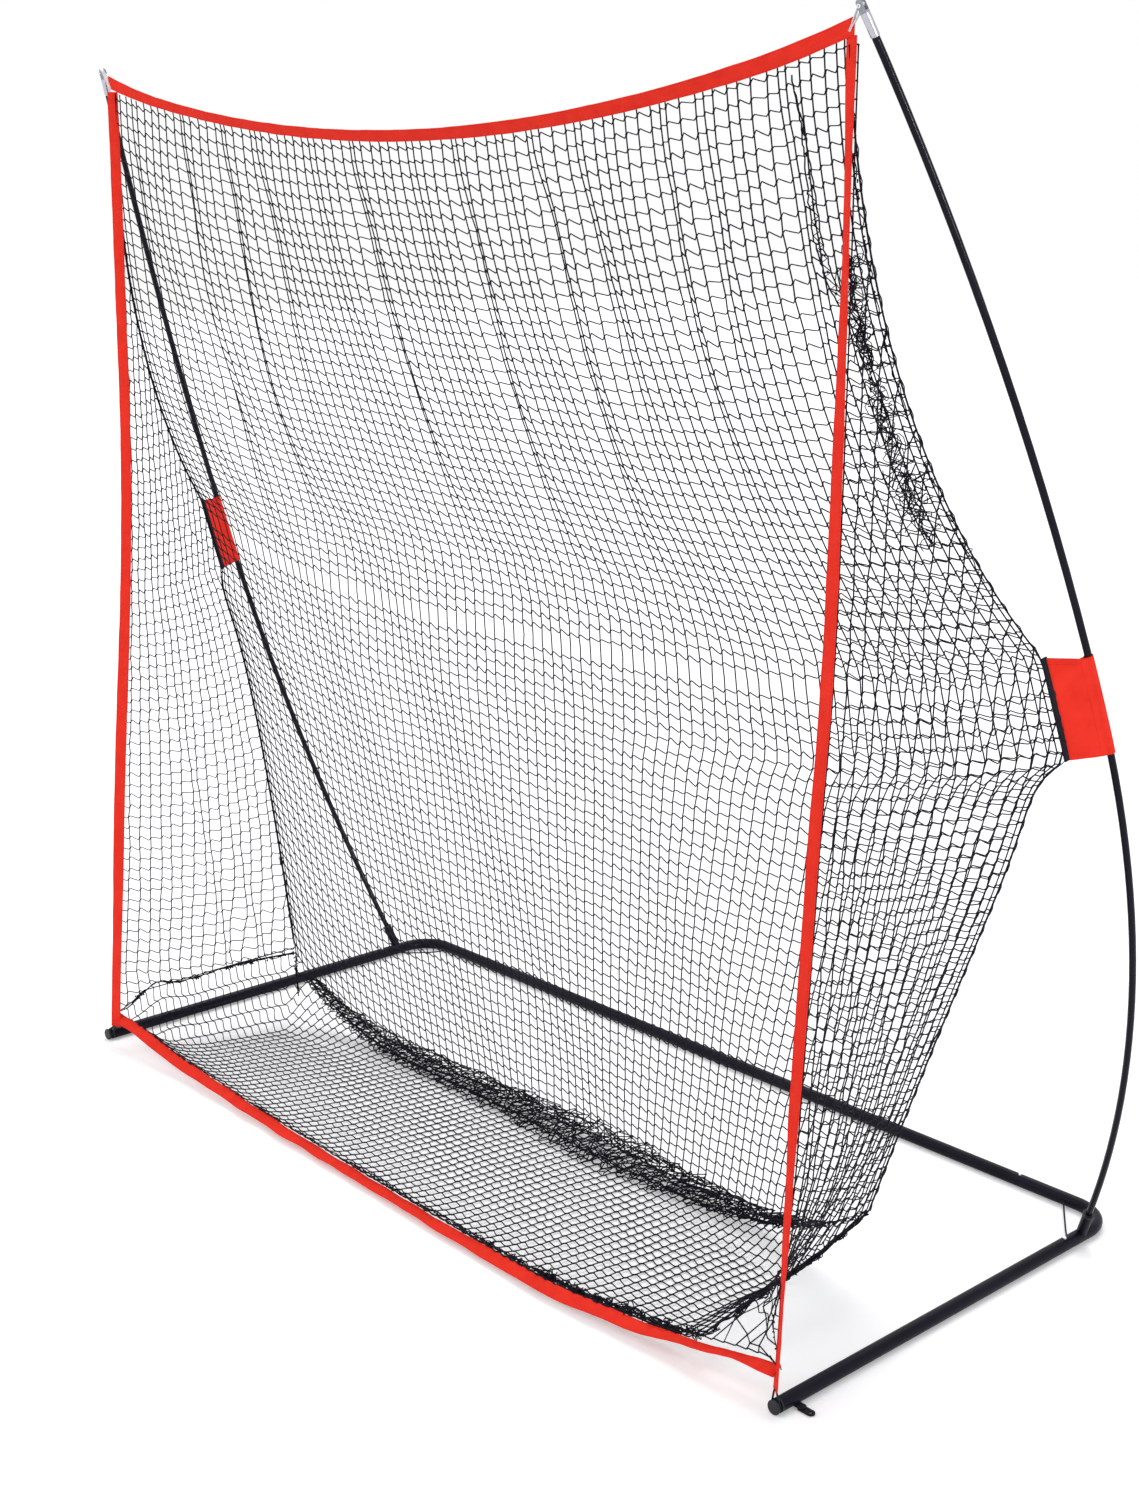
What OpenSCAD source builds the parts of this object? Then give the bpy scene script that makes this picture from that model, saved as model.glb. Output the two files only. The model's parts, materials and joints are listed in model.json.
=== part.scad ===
// Pitching target net: a tubular base on the ground, two spring poles bent
// outwards as bows, and a net held open between the pole tips, the end caps
// of the legs and two sleeves on the poles.
// X runs from left to right as the pitcher sees it, Y runs away from the
// pitcher and Z up. The origin is on the ground at the middle of the footprint.

/* [Base tubes] */
// Distance between the two legs, centre to centre
leg_spacing = 2070; // [1900:10:2200]
// Depth from the end caps' faces to the back of the rear bar
base_depth = 963; // [900:1:1050]
// Outside diameter of the base tubes
tube_d = 25.4; // [24:0.2:28]
// Wall of the base tubes
tube_wall = 1.5; // [1.2:0.1:1.8]
// Centreline radius of the corner bends
bend_r = 75; // [65:1:90]
// Straight arm of a corner between its bend and the rear bar
corner_arm = 98; // [80:1:120]
// Length of a plug-in end inside the next tube
stub_len = 62; // [54:1:75]
// Wall of the plug-in ends
stub_wall = 1.2; // [1:0.1:1.4]
// Radial play of a plug-in end
stub_play = 0.1; // [0.05:0.01:0.15]
// Length of the joiner in the middle of the rear bar
joiner_len = 160; // [140:2:200]

/* [Spring buttons] */
// Diameter of a button's head
button_d = 7.8; // [7:0.1:8.4]
// Play of a button in its holes, on the radius
button_play = 0.1; // [0.05:0.01:0.15]
// How far a button stands out of the tube
button_proud = 3.5; // [3:0.1:4]
// Distance of a button from the outer tube's end
button_inset = 36; // [30:1:40]
// Thickness of the leaf spring under a button
leaf_t = 0.6; // [0.5:0.1:0.8]
// Width of the leaf spring under a button
leaf_w = 7; // [6:0.5:8]
// Length of the leaf spring under a button
leaf_len = 30; // [26:1:34]

/* [End plugs and stake tabs] */
// Diameter of an end plug's neck
neck_d = 15; // [13:0.5:18]
// Length of an end plug's neck
neck_len = 7; // [6:0.5:9]
// Thickness of an end plug's outer flange
flange_t = 4; // [3:0.5:5]
// Thickness of the collar against the tube's end
collar_t = 3; // [2:0.5:4]
// Length of the plug inside the leg
plug_len = 26; // [20:1:32]
// Thickness of a stake tab
tab_plate_t = 3; // [2.5:0.1:3.2]
// Width of a stake tab
tab_plate_w = 15; // [13:0.5:18]
// Length of a stake tab from its rivet to its far end
tab_plate_len = 26; // [24:1:32]
// Diameter of the stake hole
stake_hole_d = 6.4; // [5:0.1:7]
// Diameter of the rivet that a stake tab turns on
pivot_d = 4; // [3.5:0.1:5]
// Distance from a leg's front end to its stake tab
stake_setback = 32; // [24:1:60]

/* [Poles] */
// Outside diameter of the poles
pole_d = 12; // [11:0.1:13]
// Bore of the poles
pole_bore = 8; // [7:0.1:9]
// Length of one pole section, measured along its curve
pole_len = 1150; // [1100:5:1180]
// Bend radius of the lower section under the net's pull
lower_bend_r = 2300; // [2200:20:2600]
// Bend radius of the upper section under the net's pull
upper_bend_r = 5400; // [4800:100:6500]
// Lean of the poles towards the pitcher, in degrees
pole_lean = 18.9; // [17:0.1:21]
// Splay of the poles at the foot, in degrees
pole_splay = 22.5; // [21:0.1:24]
// Turn of the plane that the poles bend in, in degrees
bow_turn = 10; // [6:0.5:14]
// Distance from the rear bar to a pole's foot
foot_setback = 103; // [98:1:110]
// Length of a pole socket above the leg's axis
socket_len = 62; // [56:1:70]
// Wall of a pole socket
socket_wall = 1.6; // [1.4:0.1:1.8]
// Outside diameter of a pole socket
socket_d = 20; // [19:0.2:22]
// Length of the pin that joins the two pole sections
pole_pin_len = 64; // [50:1:70]
// Length of the metal sleeve on a pole's tip
sleeve_len = 60; // [50:1:70]
// Wall of the tip sleeve
sleeve_wall = 1; // [0.8:0.1:1.4]
// Height of the forked cap on the tip
fork_len = 20; // [17:1:26]
// Width of the slot in the forked cap
fork_slot = 9.2; // [8.6:0.1:9.6]
// Diameter of the cross pin in the forked cap
cross_pin_d = 3.6; // [3:0.1:4]

/* [Net] */
// Width of the red border tape
tape_w = 25; // [20:1:30]
// Thickness of the folded border tape
tape_t = 2; // [1.6:0.1:2.4]
// Sag of the top border below its corners
top_sag = 118; // [90:2:150]
// Height of the front bottom corners above the ground
front_lift = 35; // [33:1:40]
// How far the bottom border bows out in front of its corners
front_bow = 15.5; // [13:0.5:25]
// Height of the net's rear corners above the ground
rear_lift = 150; // [120:5:170]
// Inset of the net's rear corners from the legs
rear_inset = 159; // [140:1:180]
// Depth of the net's rear corners behind the end caps
rear_corner_depth = 423; // [400:1:435]
// Where the left bottom seam meets the bottom border, from the net's corner
seam_start_left = 20; // [15:1:40]
// Where the right bottom seam meets the bottom border, from the net's corner
seam_start_right = 170; // [130:5:200]
// Depth of the net's back at the ground
floor_depth = 482; // [470:2:500]
// Length of the gathered netting in front of the back
roll_len = 1486; // [1300:2:1560]
// Width of the gathered netting at its left end
roll_w_left = 26; // [20:1:36]
// Width of the gathered netting at its right end
roll_w_right = 76; // [50:1:80]
// Height of the gathered netting at its left end
roll_h_left = 16; // [10:1:24]
// Height of the gathered netting at its right end
roll_h_right = 46; // [30:1:60]
// Thickness of the netting panels
net_t = 2; // [1.6:0.1:2.4]
// Width of a strand of the coarse mesh that stands for the netting
strand_w = 9; // [7:0.5:12]
// Meshes across the back
back_cols = 10; // [8:2:12]
// Meshes up the back above the sleeves
upper_rows = 5; // [4:1:6]
// Meshes up the back below the sleeves
lower_rows = 5; // [4:1:6]
// Meshes of the sides and the floor from front to back
depth_cols = 4; // [3:1:5]
// Diameter of the cord in the side's bottom seam
seam_cord_d = 5; // [4:0.5:6]

/* [Sleeves on the poles] */
// Height of a red sleeve
sleeve_tab_h = 172; // [150:2:190]
// Distance of a sleeve's middle above the joint of the pole's two sections
sleeve_tab_rise = 35; // [10:5:60]
// Distance from the pole to the netting
tab_reach = 84; // [76:1:92]
// Direction from the pole to the netting, in degrees
tab_angle = -116; // [-122:1:-110]
// Thickness of the sleeve's cloth
cloth_t = 1.4; // [1.2:0.1:1.6]
// Width of the black edging on a sleeve
edging_w = 7; // [5:0.5:9]

/* [Cords] */
// Diameter of the elastic loop on an end plug
loop_cord_d = 3.5; // [3:0.1:3.8]
// Diameter of the retaining cord across a corner
keep_cord_d = 3.5; // [3:0.1:4]
// Distance of the retaining cord's hole from the leg's rear end
keep_hole_leg = 26; // [24:1:30]
// Distance of the retaining cord's hole from the rear bar's end
keep_hole_arm = 64; // [55:1:72]

/* [Hidden] */
$fn = 48;

// Working clearances
fit = 0.3;          // between soft or curved neighbours
pin_play = 0.05;    // radius play of a turning rivet
sliver = 0.01;      // keeps cuts clear of coincident faces
bend_facets = 250;  // facets of a full turn on the long bends of the poles

// Base
tube_r = tube_d / 2;
stub_r = tube_r - tube_wall - stub_play;
stub_bore_r = stub_r - stub_wall;
leg_x = leg_spacing / 2;
bottom_mid_out = front_bow - flange_t - neck_len / 2;   // bottom border's reach in front of the caps
tape_tilt = 40;                                  // lean of the bottom border, in degrees
front_reach = bottom_mid_out + tape_t / 2 * sin(tape_tilt);
cap_y = front_reach - (front_reach + base_depth) / 2;
rear_y = cap_y + base_depth - tube_r;
plug_out = flange_t + neck_len + collar_t;
leg_front = cap_y + plug_out;
foot_y = rear_y - foot_setback;
leg_gap = socket_d / 2 / cos(pole_lean) + tube_r * tan(pole_lean) + 1;   // foot to leg's rear end
leg_rear = foot_y - leg_gap;
bar_end = leg_x - bend_r - corner_arm;
loop_y = cap_y + flange_t + neck_len / 2;

// Colours
black_paint = [0.09, 0.09, 0.12];
black_plastic = [0.05, 0.05, 0.06];
steel = [0.75, 0.76, 0.78];
red_cloth = [0.93, 0.20, 0.14];
black_cord = [0.03, 0.03, 0.04];
white_nylon = [0.92, 0.92, 0.93];

// ---- Pole curve ----
up_dir = [0, -sin(pole_lean), cos(pole_lean)];
back_dir = [0, cos(pole_lean), sin(pole_lean)];
out_dir = [cos(bow_turn), 0, 0] + sin(bow_turn) * back_dir;
side_dir = [-sin(bow_turn), 0, 0] + cos(bow_turn) * back_dir;
foot = [leg_x, foot_y, tube_r];

function turned(r, len) = len / r * 180 / PI;
// Place and splay after an arc of radius r and length len that starts at angle a
function arc_move(r, a, len) = let (b = a - turned(r, len))
    r * (cos(b) - cos(a)) * out_dir + r * (sin(a) - sin(b)) * up_dir;
bush_flange = 4;
grip_len = socket_len + bush_flange;             // the pole is straight in its socket
bent_len = pole_len - grip_len;
splay_mid = pole_splay - turned(lower_bend_r, bent_len);
splay_tip = splay_mid - turned(upper_bend_r, pole_len);
socket_mouth = foot + grip_len * (sin(pole_splay) * out_dir + cos(pole_splay) * up_dir);
function pole_point(s) = s <= pole_len
    ? socket_mouth + arc_move(lower_bend_r, pole_splay, s - grip_len)
    : socket_mouth + arc_move(lower_bend_r, pole_splay, bent_len)
                   + arc_move(upper_bend_r, splay_mid, s - pole_len);
function splay_at(s) = s <= pole_len
    ? pole_splay - turned(lower_bend_r, s - grip_len)
    : splay_mid - turned(upper_bend_r, s - pole_len);
function out_at(s) = cos(splay_at(s)) * out_dir - sin(splay_at(s)) * up_dir;
function along_at(s) = sin(splay_at(s)) * out_dir + cos(splay_at(s)) * up_dir;
tip = pole_point(2 * pole_len);

module on_side(side) { mirror([side < 0 ? 1 : 0, 0, 0]) children(); }
module at_foot() {
    translate(foot) rotate([pole_lean, 0, 0]) rotate([0, 0, bow_turn])
        rotate([0, pole_splay, 0]) children();
}
// Moves what follows along an arc that bends towards -X
module along(r, len) {
    translate([-r, 0, 0]) rotate([0, -turned(r, len), 0]) translate([r, 0, 0]) children();
}
// Sweeps a profile, drawn in the pole's own cross section, along such an arc
module bent(r, len) {
    translate([-r, 0, 0]) rotate([90, 0, 0])
        rotate_extrude(angle = turned(r, len), $fn = bend_facets)
            translate([r, 0]) mirror([0, 1]) let ($fn = 48) children();
}
module ring(outer, inner) {
    difference() { circle(outer); circle(inner); }
}
module pipe(outer, inner, len) {
    linear_extrude(len) ring(outer, inner);
}
// From the foot up to the joint between the two sections, and further up
module at_joint() {
    at_foot() translate([0, 0, grip_len]) along(lower_bend_r, bent_len) children();
}
module along_y() { rotate([-90, 0, 0]) children(); }
module along_x() { rotate([0, 90, 0]) children(); }

// ---- Base tubes ----
button_hole_r = button_d / 2 + button_play;
leg_button_y = leg_rear - button_inset;
bar_button_x = bar_end - button_inset;
joiner_button_x = button_inset;
keep_leg_y = leg_rear - keep_hole_leg;
keep_arm_x = bar_end + keep_hole_arm;
keep_hole_r = keep_cord_d / 2 + fit;

module leg() {
    difference() {
        translate([leg_x, leg_front, tube_r]) along_y()
            pipe(tube_r, tube_r - tube_wall, leg_rear - leg_front);
        translate([leg_x, leg_button_y, tube_r]) cylinder(r = button_hole_r, h = tube_d);
        retaining_path(keep_hole_r);
    }
}
module leg_left() { color(black_paint) on_side(-1) leg(); }
module leg_right() { color(black_paint) on_side(1) leg(); }

// Corner: plug-in ends, two straight arms, the bend and the pole socket
module corner() {
    leg_arm = rear_y - bend_r - leg_rear;
    difference() {
        union() {
            translate([leg_x, leg_rear, tube_r]) along_y() cylinder(r = tube_r, h = leg_arm);
            at_foot() cylinder(r = socket_d / 2, h = socket_len);
        }
        translate([leg_x, leg_rear - 1, tube_r]) along_y() cylinder(r = stub_bore_r, h = leg_arm + 2);
        at_foot() translate([0, 0, pole_start]) cylinder(r = socket_bore_r, h = socket_len);
    }
    translate([leg_x - bend_r, rear_y - bend_r, tube_r])
        rotate_extrude(angle = 90) translate([bend_r, 0]) rotate(90) ring(tube_r, stub_bore_r);
    difference() {
        translate([bar_end, rear_y, tube_r]) along_x() pipe(tube_r, stub_bore_r, corner_arm);
        retaining_path(keep_hole_r);
    }
    difference() {
        translate([leg_x, leg_rear - stub_len, tube_r]) along_y() pipe(stub_r, stub_bore_r, stub_len);
        translate([leg_x, leg_button_y, tube_r]) cylinder(r = button_hole_r, h = tube_d);
        retaining_path(keep_hole_r);
    }
    difference() {
        translate([bar_end - stub_len, rear_y, tube_r]) along_x() pipe(stub_r, stub_bore_r, stub_len);
        translate([bar_button_x, rear_y, tube_r]) cylinder(r = button_hole_r, h = tube_d);
    }
}
module corner_left() { color(black_paint) on_side(-1) corner(); }
module corner_right() { color(black_paint) on_side(1) corner(); }

// Plastic bush between a pole and its socket
socket_bore_r = socket_d / 2 - socket_wall;
pole_start = tube_r / cos(pole_splay) / cos(pole_lean) + 1;   // the pole stands on the corner tube
module socket_bush() {
    at_foot() {
        translate([0, 0, pole_start + fit])
            pipe(socket_bore_r, pole_d / 2 + fit, socket_len - pole_start - fit);
        translate([0, 0, socket_len]) pipe(socket_d / 2 + 1.6, pole_d / 2 + fit, bush_flange);
    }
}
module socket_bush_left() { color(black_plastic) on_side(-1) socket_bush(); }
module socket_bush_right() { color(black_plastic) on_side(1) socket_bush(); }

module rear_bar(button_x2) {
    difference() {
        translate([0, rear_y, tube_r]) along_x() pipe(tube_r, tube_r - tube_wall, bar_end);
        for (x = [bar_button_x, button_x2])
            translate([x, rear_y, tube_r]) cylinder(r = button_hole_r, h = tube_d);
    }
}
module rear_bar_left() {
    color(black_paint) on_side(-1) difference() {
        rear_bar(bar_button_x);
        translate([button_inset, rear_y, tube_r]) cylinder(r = rivet_r, h = tube_d);
    }
}
module rear_bar_right() { color(black_paint) on_side(1) rear_bar(joiner_button_x); }

// Joiner: riveted in the left half of the rear bar, sprung into the right half
rivet_r = 2.4;
module rear_bar_joiner() {
    color(black_paint) difference() {
        union() {
            translate([-joiner_len / 2, rear_y, tube_r]) along_x()
                pipe(stub_r, stub_bore_r, joiner_len);
            translate([-button_inset, rear_y, tube_r + stub_bore_r + stub_wall / 3])
                cylinder(r = rivet_r - button_play, h = tube_r - stub_bore_r);
        }
        translate([joiner_button_x, rear_y, tube_r]) cylinder(r = button_hole_r, h = tube_d);
    }
}

// ---- End plug: a spool that the elastic loop sits in ----
module end_plug() {
    translate([leg_x, cap_y, tube_r]) along_y() {
        rotate_extrude() polygon([
            [0, 0], [tube_r - 1.5, 0], [tube_r, 1.5], [tube_r, flange_t],
            [neck_d / 2, flange_t + 1], [neck_d / 2, flange_t + neck_len - 1],
            [tube_r, flange_t + neck_len], [tube_r, plug_out],
            [tube_r - tube_wall - stub_play, plug_out],
            [tube_r - tube_wall - stub_play, plug_out + plug_len - 3],
            [tube_r - tube_wall - 2, plug_out + plug_len], [0, plug_out + plug_len]]);
    }
}
module end_plug_left() { color(black_plastic) on_side(-1) end_plug(); }
module end_plug_right() { color(black_plastic) on_side(1) end_plug(); }

// ---- Stake tab: a flat plate that swings on a rivet under a welded bracket ----
tab_y = leg_front + stake_setback;
bracket_t = 2.5;
rivet_head_t = 1;
rivet_head_d = pivot_d + 4;
upset_t = 1.4;              // of the rivet's hammered end
tab_play = 0.1;             // above and below a stake tab
rivet_lift = 0.2;           // of the rivet's head above the ground
tab_z = rivet_lift + rivet_head_t + tab_play;
bracket_z = tab_z + tab_plate_t + tab_play;
pivot_x = leg_x + tube_r + tab_plate_w / 2 + 1;
module stake_bracket() {
    difference() {
        union() {
            translate([leg_x, tab_y - tab_plate_w / 2, bracket_z])
                cube([pivot_x - leg_x, tab_plate_w, bracket_t]);
            translate([pivot_x, tab_y, bracket_z]) cylinder(d = tab_plate_w, h = bracket_t);
        }
        translate([leg_x, tab_y - tab_plate_w, tube_r]) along_y()
            cylinder(r = tube_r, h = 2 * tab_plate_w);
        translate([leg_x - tube_d, tab_y - tab_plate_w, 0])
            cube([tube_d + 1, 2 * tab_plate_w, tube_d]);
    }
    translate([pivot_x, tab_y, tab_z - tab_play - rivet_head_t])
        cylinder(d = rivet_head_d, h = rivet_head_t);
    translate([pivot_x, tab_y, tab_z - tab_play - sliver])
        cylinder(d = pivot_d, h = bracket_z - tab_z + tab_play + 2 * sliver);
    translate([pivot_x, tab_y, bracket_z + bracket_t - sliver])
        cylinder(d1 = rivet_head_d, d2 = pivot_d, h = upset_t);
}
module stake_bracket_left() { color(black_paint) on_side(-1) stake_bracket(); }
module stake_bracket_right() { color(black_paint) on_side(1) stake_bracket(); }

stake_hole_x = pivot_x + tab_plate_len - tab_plate_w / 2;
module stake_tab() {
    difference() {
        translate([0, 0, tab_z]) union() {
            translate([pivot_x, tab_y, 0]) cylinder(d = tab_plate_w, h = tab_plate_t);
            translate([pivot_x, tab_y - tab_plate_w / 2, 0])
                cube([tab_plate_len - tab_plate_w / 2, tab_plate_w, tab_plate_t]);
            translate([stake_hole_x, tab_y, 0]) cylinder(d = tab_plate_w, h = tab_plate_t);
        }
        translate([pivot_x, tab_y, 0]) cylinder(r = pivot_d / 2 + pin_play, h = tube_d);
        translate([stake_hole_x, tab_y, 0]) cylinder(d = stake_hole_d, h = tube_d);
    }
}
module stake_tab_left() { color(black_paint) on_side(-1) stake_tab(); }
module stake_tab_right() { color(black_paint) on_side(1) stake_tab(); }

// ---- Spring buttons ----
button_flange_r = 5;
button_flange_t = 1.2;
flange_top = sqrt(pow(stub_bore_r, 2) - pow(button_flange_r, 2)) - fit;
module button() {
    translate([0, 0, flange_top - button_flange_t])
        cylinder(r = button_flange_r, h = button_flange_t);
    rotate_extrude() polygon([
        [0, flange_top - sliver], [button_d / 2, flange_top - sliver],
        [button_d / 2, tube_r + button_proud - 1.5],
        [button_d / 2 - 0.5, tube_r + button_proud - 0.6],
        [button_d / 2 - 1.6, tube_r + button_proud], [0, tube_r + button_proud]]);
}
module at_leg_button(side) {
    on_side(side) translate([leg_x, leg_button_y, tube_r]) rotate([0, 0, 90]) children();
}
module at_bar_button(side) {
    on_side(side) translate([bar_button_x, rear_y, tube_r]) children();
}
module at_joiner_button() { translate([joiner_button_x, rear_y, tube_r]) children(); }
module button_leg_left() { color(steel) at_leg_button(-1) button(); }
module button_leg_right() { color(steel) at_leg_button(1) button(); }
module button_bar_left() { color(steel) at_bar_button(-1) button(); }
module button_bar_right() { color(steel) at_bar_button(1) button(); }
module button_joiner() { color(steel) at_joiner_button() button(); }

// Leaf spring folded in a V, from the bottom of the bore up to the button
leaf_low = -sqrt(pow(stub_bore_r, 2) - pow(leaf_w / 2, 2)) + fit;
leaf_high = flange_top - button_flange_t - fit - leaf_t;
fold_x = -leaf_len + leaf_w / 2;
module leaf_spring() {
    translate([0, leaf_w / 2, 0]) rotate([90, 0, 0]) linear_extrude(leaf_w) polygon([
        [leaf_w / 2, leaf_low], [leaf_w / 2, leaf_low + leaf_t],
        [fold_x + leaf_t, leaf_low + leaf_t],
        [-leaf_w / 2, leaf_high], [leaf_w / 2, leaf_high],
        [leaf_w / 2, leaf_high + leaf_t], [-leaf_w / 2, leaf_high + leaf_t],
        [fold_x, leaf_low + 1.8 * leaf_t], [fold_x, leaf_low]]);
}
module leaf_spring_leg_left() { color(steel) at_leg_button(-1) leaf_spring(); }
module leaf_spring_leg_right() { color(steel) at_leg_button(1) leaf_spring(); }
module leaf_spring_bar_left() { color(steel) at_bar_button(-1) leaf_spring(); }
module leaf_spring_bar_right() { color(steel) at_bar_button(1) leaf_spring(); }
module leaf_spring_joiner() { color(steel) at_joiner_button() leaf_spring(); }

// ---- Retaining cord across each corner, knotted inside both tubes ----
keep_from = [leg_x, keep_leg_y, tube_r];
keep_to = [keep_arm_x, rear_y, tube_r];
keep_span = norm(keep_to - keep_from);
knot_r = keep_cord_d / 2 + 1.6;
module retaining_path(r) {
    translate(keep_from) rotate([0, 0, atan2(keep_to.y - keep_from.y, keep_to.x - keep_from.x)])
        along_x() cylinder(r = r, h = keep_span);
}
module retaining_cord() {
    retaining_path(keep_cord_d / 2);
    translate(keep_from) sphere(knot_r);
    translate(keep_to) sphere(knot_r);
}
module retaining_cord_left() { color(black_cord) on_side(-1) retaining_cord(); }
module retaining_cord_right() { color(black_cord) on_side(1) retaining_cord(); }

// ---- Poles ----
module pole_lower() {
    at_foot() {
        translate([0, 0, pole_start]) pipe(pole_d / 2, pole_bore / 2, grip_len - pole_start);
        translate([0, 0, grip_len]) bent(lower_bend_r, bent_len) ring(pole_d / 2, pole_bore / 2);
    }
}
module pole_upper() {
    at_joint() bent(upper_bend_r, pole_len - fork_len) ring(pole_d / 2, pole_bore / 2);
}
pole_pin_play = 0.3;     // lets the straight pin sit in the bent bores
module pole_pin() {
    at_joint() rotate_extrude() polygon([
        [0, -pole_pin_len / 2], [pole_pin_r - 1, -pole_pin_len / 2],
        [pole_pin_r, -pole_pin_len / 2 + 2], [pole_pin_r, pole_pin_len / 2 - 2],
        [pole_pin_r - 1, pole_pin_len / 2], [0, pole_pin_len / 2]]);
}
pole_pin_r = pole_bore / 2 - pole_pin_play;
module pole_lower_left() { color(black_paint) on_side(-1) pole_lower(); }
module pole_lower_right() { color(black_paint) on_side(1) pole_lower(); }
module pole_upper_left() { color(black_paint) on_side(-1) pole_upper(); }
module pole_upper_right() { color(black_paint) on_side(1) pole_upper(); }
module pole_pin_left() { color(steel) on_side(-1) pole_pin(); }
module pole_pin_right() { color(steel) on_side(1) pole_pin(); }

// ---- Tips: metal sleeve, forked cap, cross pin and webbing loop ----
sleeve_bore_r = pole_d / 2 + pin_play;
sleeve_r = sleeve_bore_r + sleeve_wall;
plug_in_tip = 12;
module at_tip() {
    at_joint() along(upper_bend_r, pole_len - fork_len) children();
}
module tip_sleeve() {
    at_joint() along(upper_bend_r, pole_len - fork_len - sleeve_len)
        bent(upper_bend_r, sleeve_len) ring(sleeve_r, sleeve_bore_r);
}
module tip_cap() {
    at_tip() difference() {
        union() {
            translate([0, 0, sliver]) cylinder(r = sleeve_r, h = fork_len - 3);
            translate([0, 0, fork_len - 3 + sliver]) cylinder(r1 = sleeve_r, r2 = sleeve_r - 2, h = 3);
            translate([0, 0, -plug_in_tip]) cylinder(r = pole_pin_r, h = plug_in_tip + 1);
        }
        translate([-fork_len, -fork_slot / 2, 3]) cube([2 * fork_len, fork_slot, fork_len]);
        translate([0, sleeve_r + 1, pin_rise]) rotate([90, 0, 0])
            cylinder(r = cross_pin_d / 2 + pin_play, h = 2 * sleeve_r + 2);
    }
}
pin_rise = 12;
pin_head = 1.5;
module tip_pin() {
    at_tip() translate([0, sleeve_r + pin_head, pin_rise]) rotate([90, 0, 0]) difference() {
        union() {
            cylinder(r = cross_pin_d / 2, h = 2 * (sleeve_r + pin_head));
            cylinder(r = cross_pin_d / 2 + 1.4, h = pin_head - fit / 2);
            translate([0, 0, 2 * sleeve_r + pin_head + fit / 2])
                cylinder(r = cross_pin_d / 2 + 1.4, h = pin_head - fit / 2);
        }
        for (z = [-sliver, 2 * (sleeve_r + pin_head) - 2])
            translate([0, 0, z]) cylinder(r = cross_pin_d / 4, h = 2 + sliver);
    }
}
module tip_sleeve_left() { color(steel) on_side(-1) tip_sleeve(); }
module tip_sleeve_right() { color(steel) on_side(1) tip_sleeve(); }
module tip_cap_left() { color(steel) on_side(-1) tip_cap(); }
module tip_cap_right() { color(steel) on_side(1) tip_cap(); }
module tip_pin_left() { color(steel) on_side(-1) tip_pin(); }
module tip_pin_right() { color(steel) on_side(1) tip_pin(); }

// ---- Lofts: rings of points joined into one closed solid ----
module loft(rings) {
    n = len(rings[0]);
    m = len(rings);
    skin = [for (k = [0:m - 2], i = [0:n - 1]) let (j = (i + 1) % n)
        each [[k * n + i, (k + 1) * n + i, k * n + j],
              [k * n + j, (k + 1) * n + i, (k + 1) * n + j]]];
    start = [for (i = [1:n - 2]) [0, i, i + 1]];
    end = [for (i = [1:n - 2]) [(m - 1) * n, (m - 1) * n + i + 1, (m - 1) * n + i]];
    polyhedron([for (r = rings) each r], concat(skin, start, end), convexity = 4);
}
// The same, with the last ring joined to the first
module closed_loft(rings) {
    n = len(rings[0]);
    m = len(rings);
    polyhedron([for (r = rings) each r],
        [for (k = [0:m - 1], i = [0:n - 1]) let (j = (i + 1) % n, q = (k + 1) % m)
            each [[k * n + i, q * n + i, k * n + j], [k * n + j, q * n + i, q * n + j]]],
        convexity = 4);
}
// Rectangular ring: a is the section's corner, w and t its two sides
function plate_ring(a, w, t) = [a, a + w, a + w + t, a + t];

function mix(a, b, t) = a + (b - a) * t;
function bow3(a, b, c, t) = mix(mix(a, b, t), mix(b, c, t), t);
function unit(v) = v / norm(v);

// ---- Net: its corners and seams, on the right-hand side ----
corner_inset = 18;          // from the pole's tip to the net's top corner
corner_back = 7;
corner_drop = 34;
top_corner = tip + [-corner_inset, corner_back, -corner_drop];
front_inset = 10;           // from the leg to the net's front bottom corner
front_corner = [leg_x - front_inset, loop_y, front_lift];
rear_corner = [leg_x - rear_inset, cap_y + rear_corner_depth, rear_lift];
tab_dir_2d = [cos(tab_angle), sin(tab_angle)];
function tab_edge(s) = pole_point(s)
    + tab_reach * (tab_dir_2d.x * out_at(s) + tab_dir_2d.y * side_dir);
sleeve_tab_at = pole_len + sleeve_tab_rise;      // along the pole, as is all that follows
tab_low = tab_edge(sleeve_tab_at - sleeve_tab_h / 2);
tab_high = tab_edge(sleeve_tab_at + sleeve_tab_h / 2);
// Points that the seams bow towards, above and below the sleeve
upper_pull_in = 7;
upper_pull_back = 130;
upper_pull_share = 0.375;
upper_pull = [leg_x - upper_pull_in, cap_y + upper_pull_back,
              mix(tab_high.z, top_corner.z, upper_pull_share)];
lower_pull_out = 35;
lower_pull_back = 466;
lower_pull_share = 0.73;
lower_pull = [leg_x + lower_pull_out, cap_y + lower_pull_back,
              mix(rear_corner.z, tab_low.z, lower_pull_share)];

// Seam between side and back, row by row from the rear corner up to the tip
net_rows = lower_rows + 1 + upper_rows;
function seam_point(j) = j <= lower_rows
    ? bow3(rear_corner, lower_pull, tab_low, j / lower_rows)
    : bow3(tab_high, upper_pull, top_corner, (j - lower_rows - 1) / upper_rows);
// Side border, at the same rows
border_back = 20;
function side_border(j) = let (t = j / net_rows)
    mix(front_corner, top_corner, t) + [0, 4 * border_back * t * (1 - t), 0];
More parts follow.
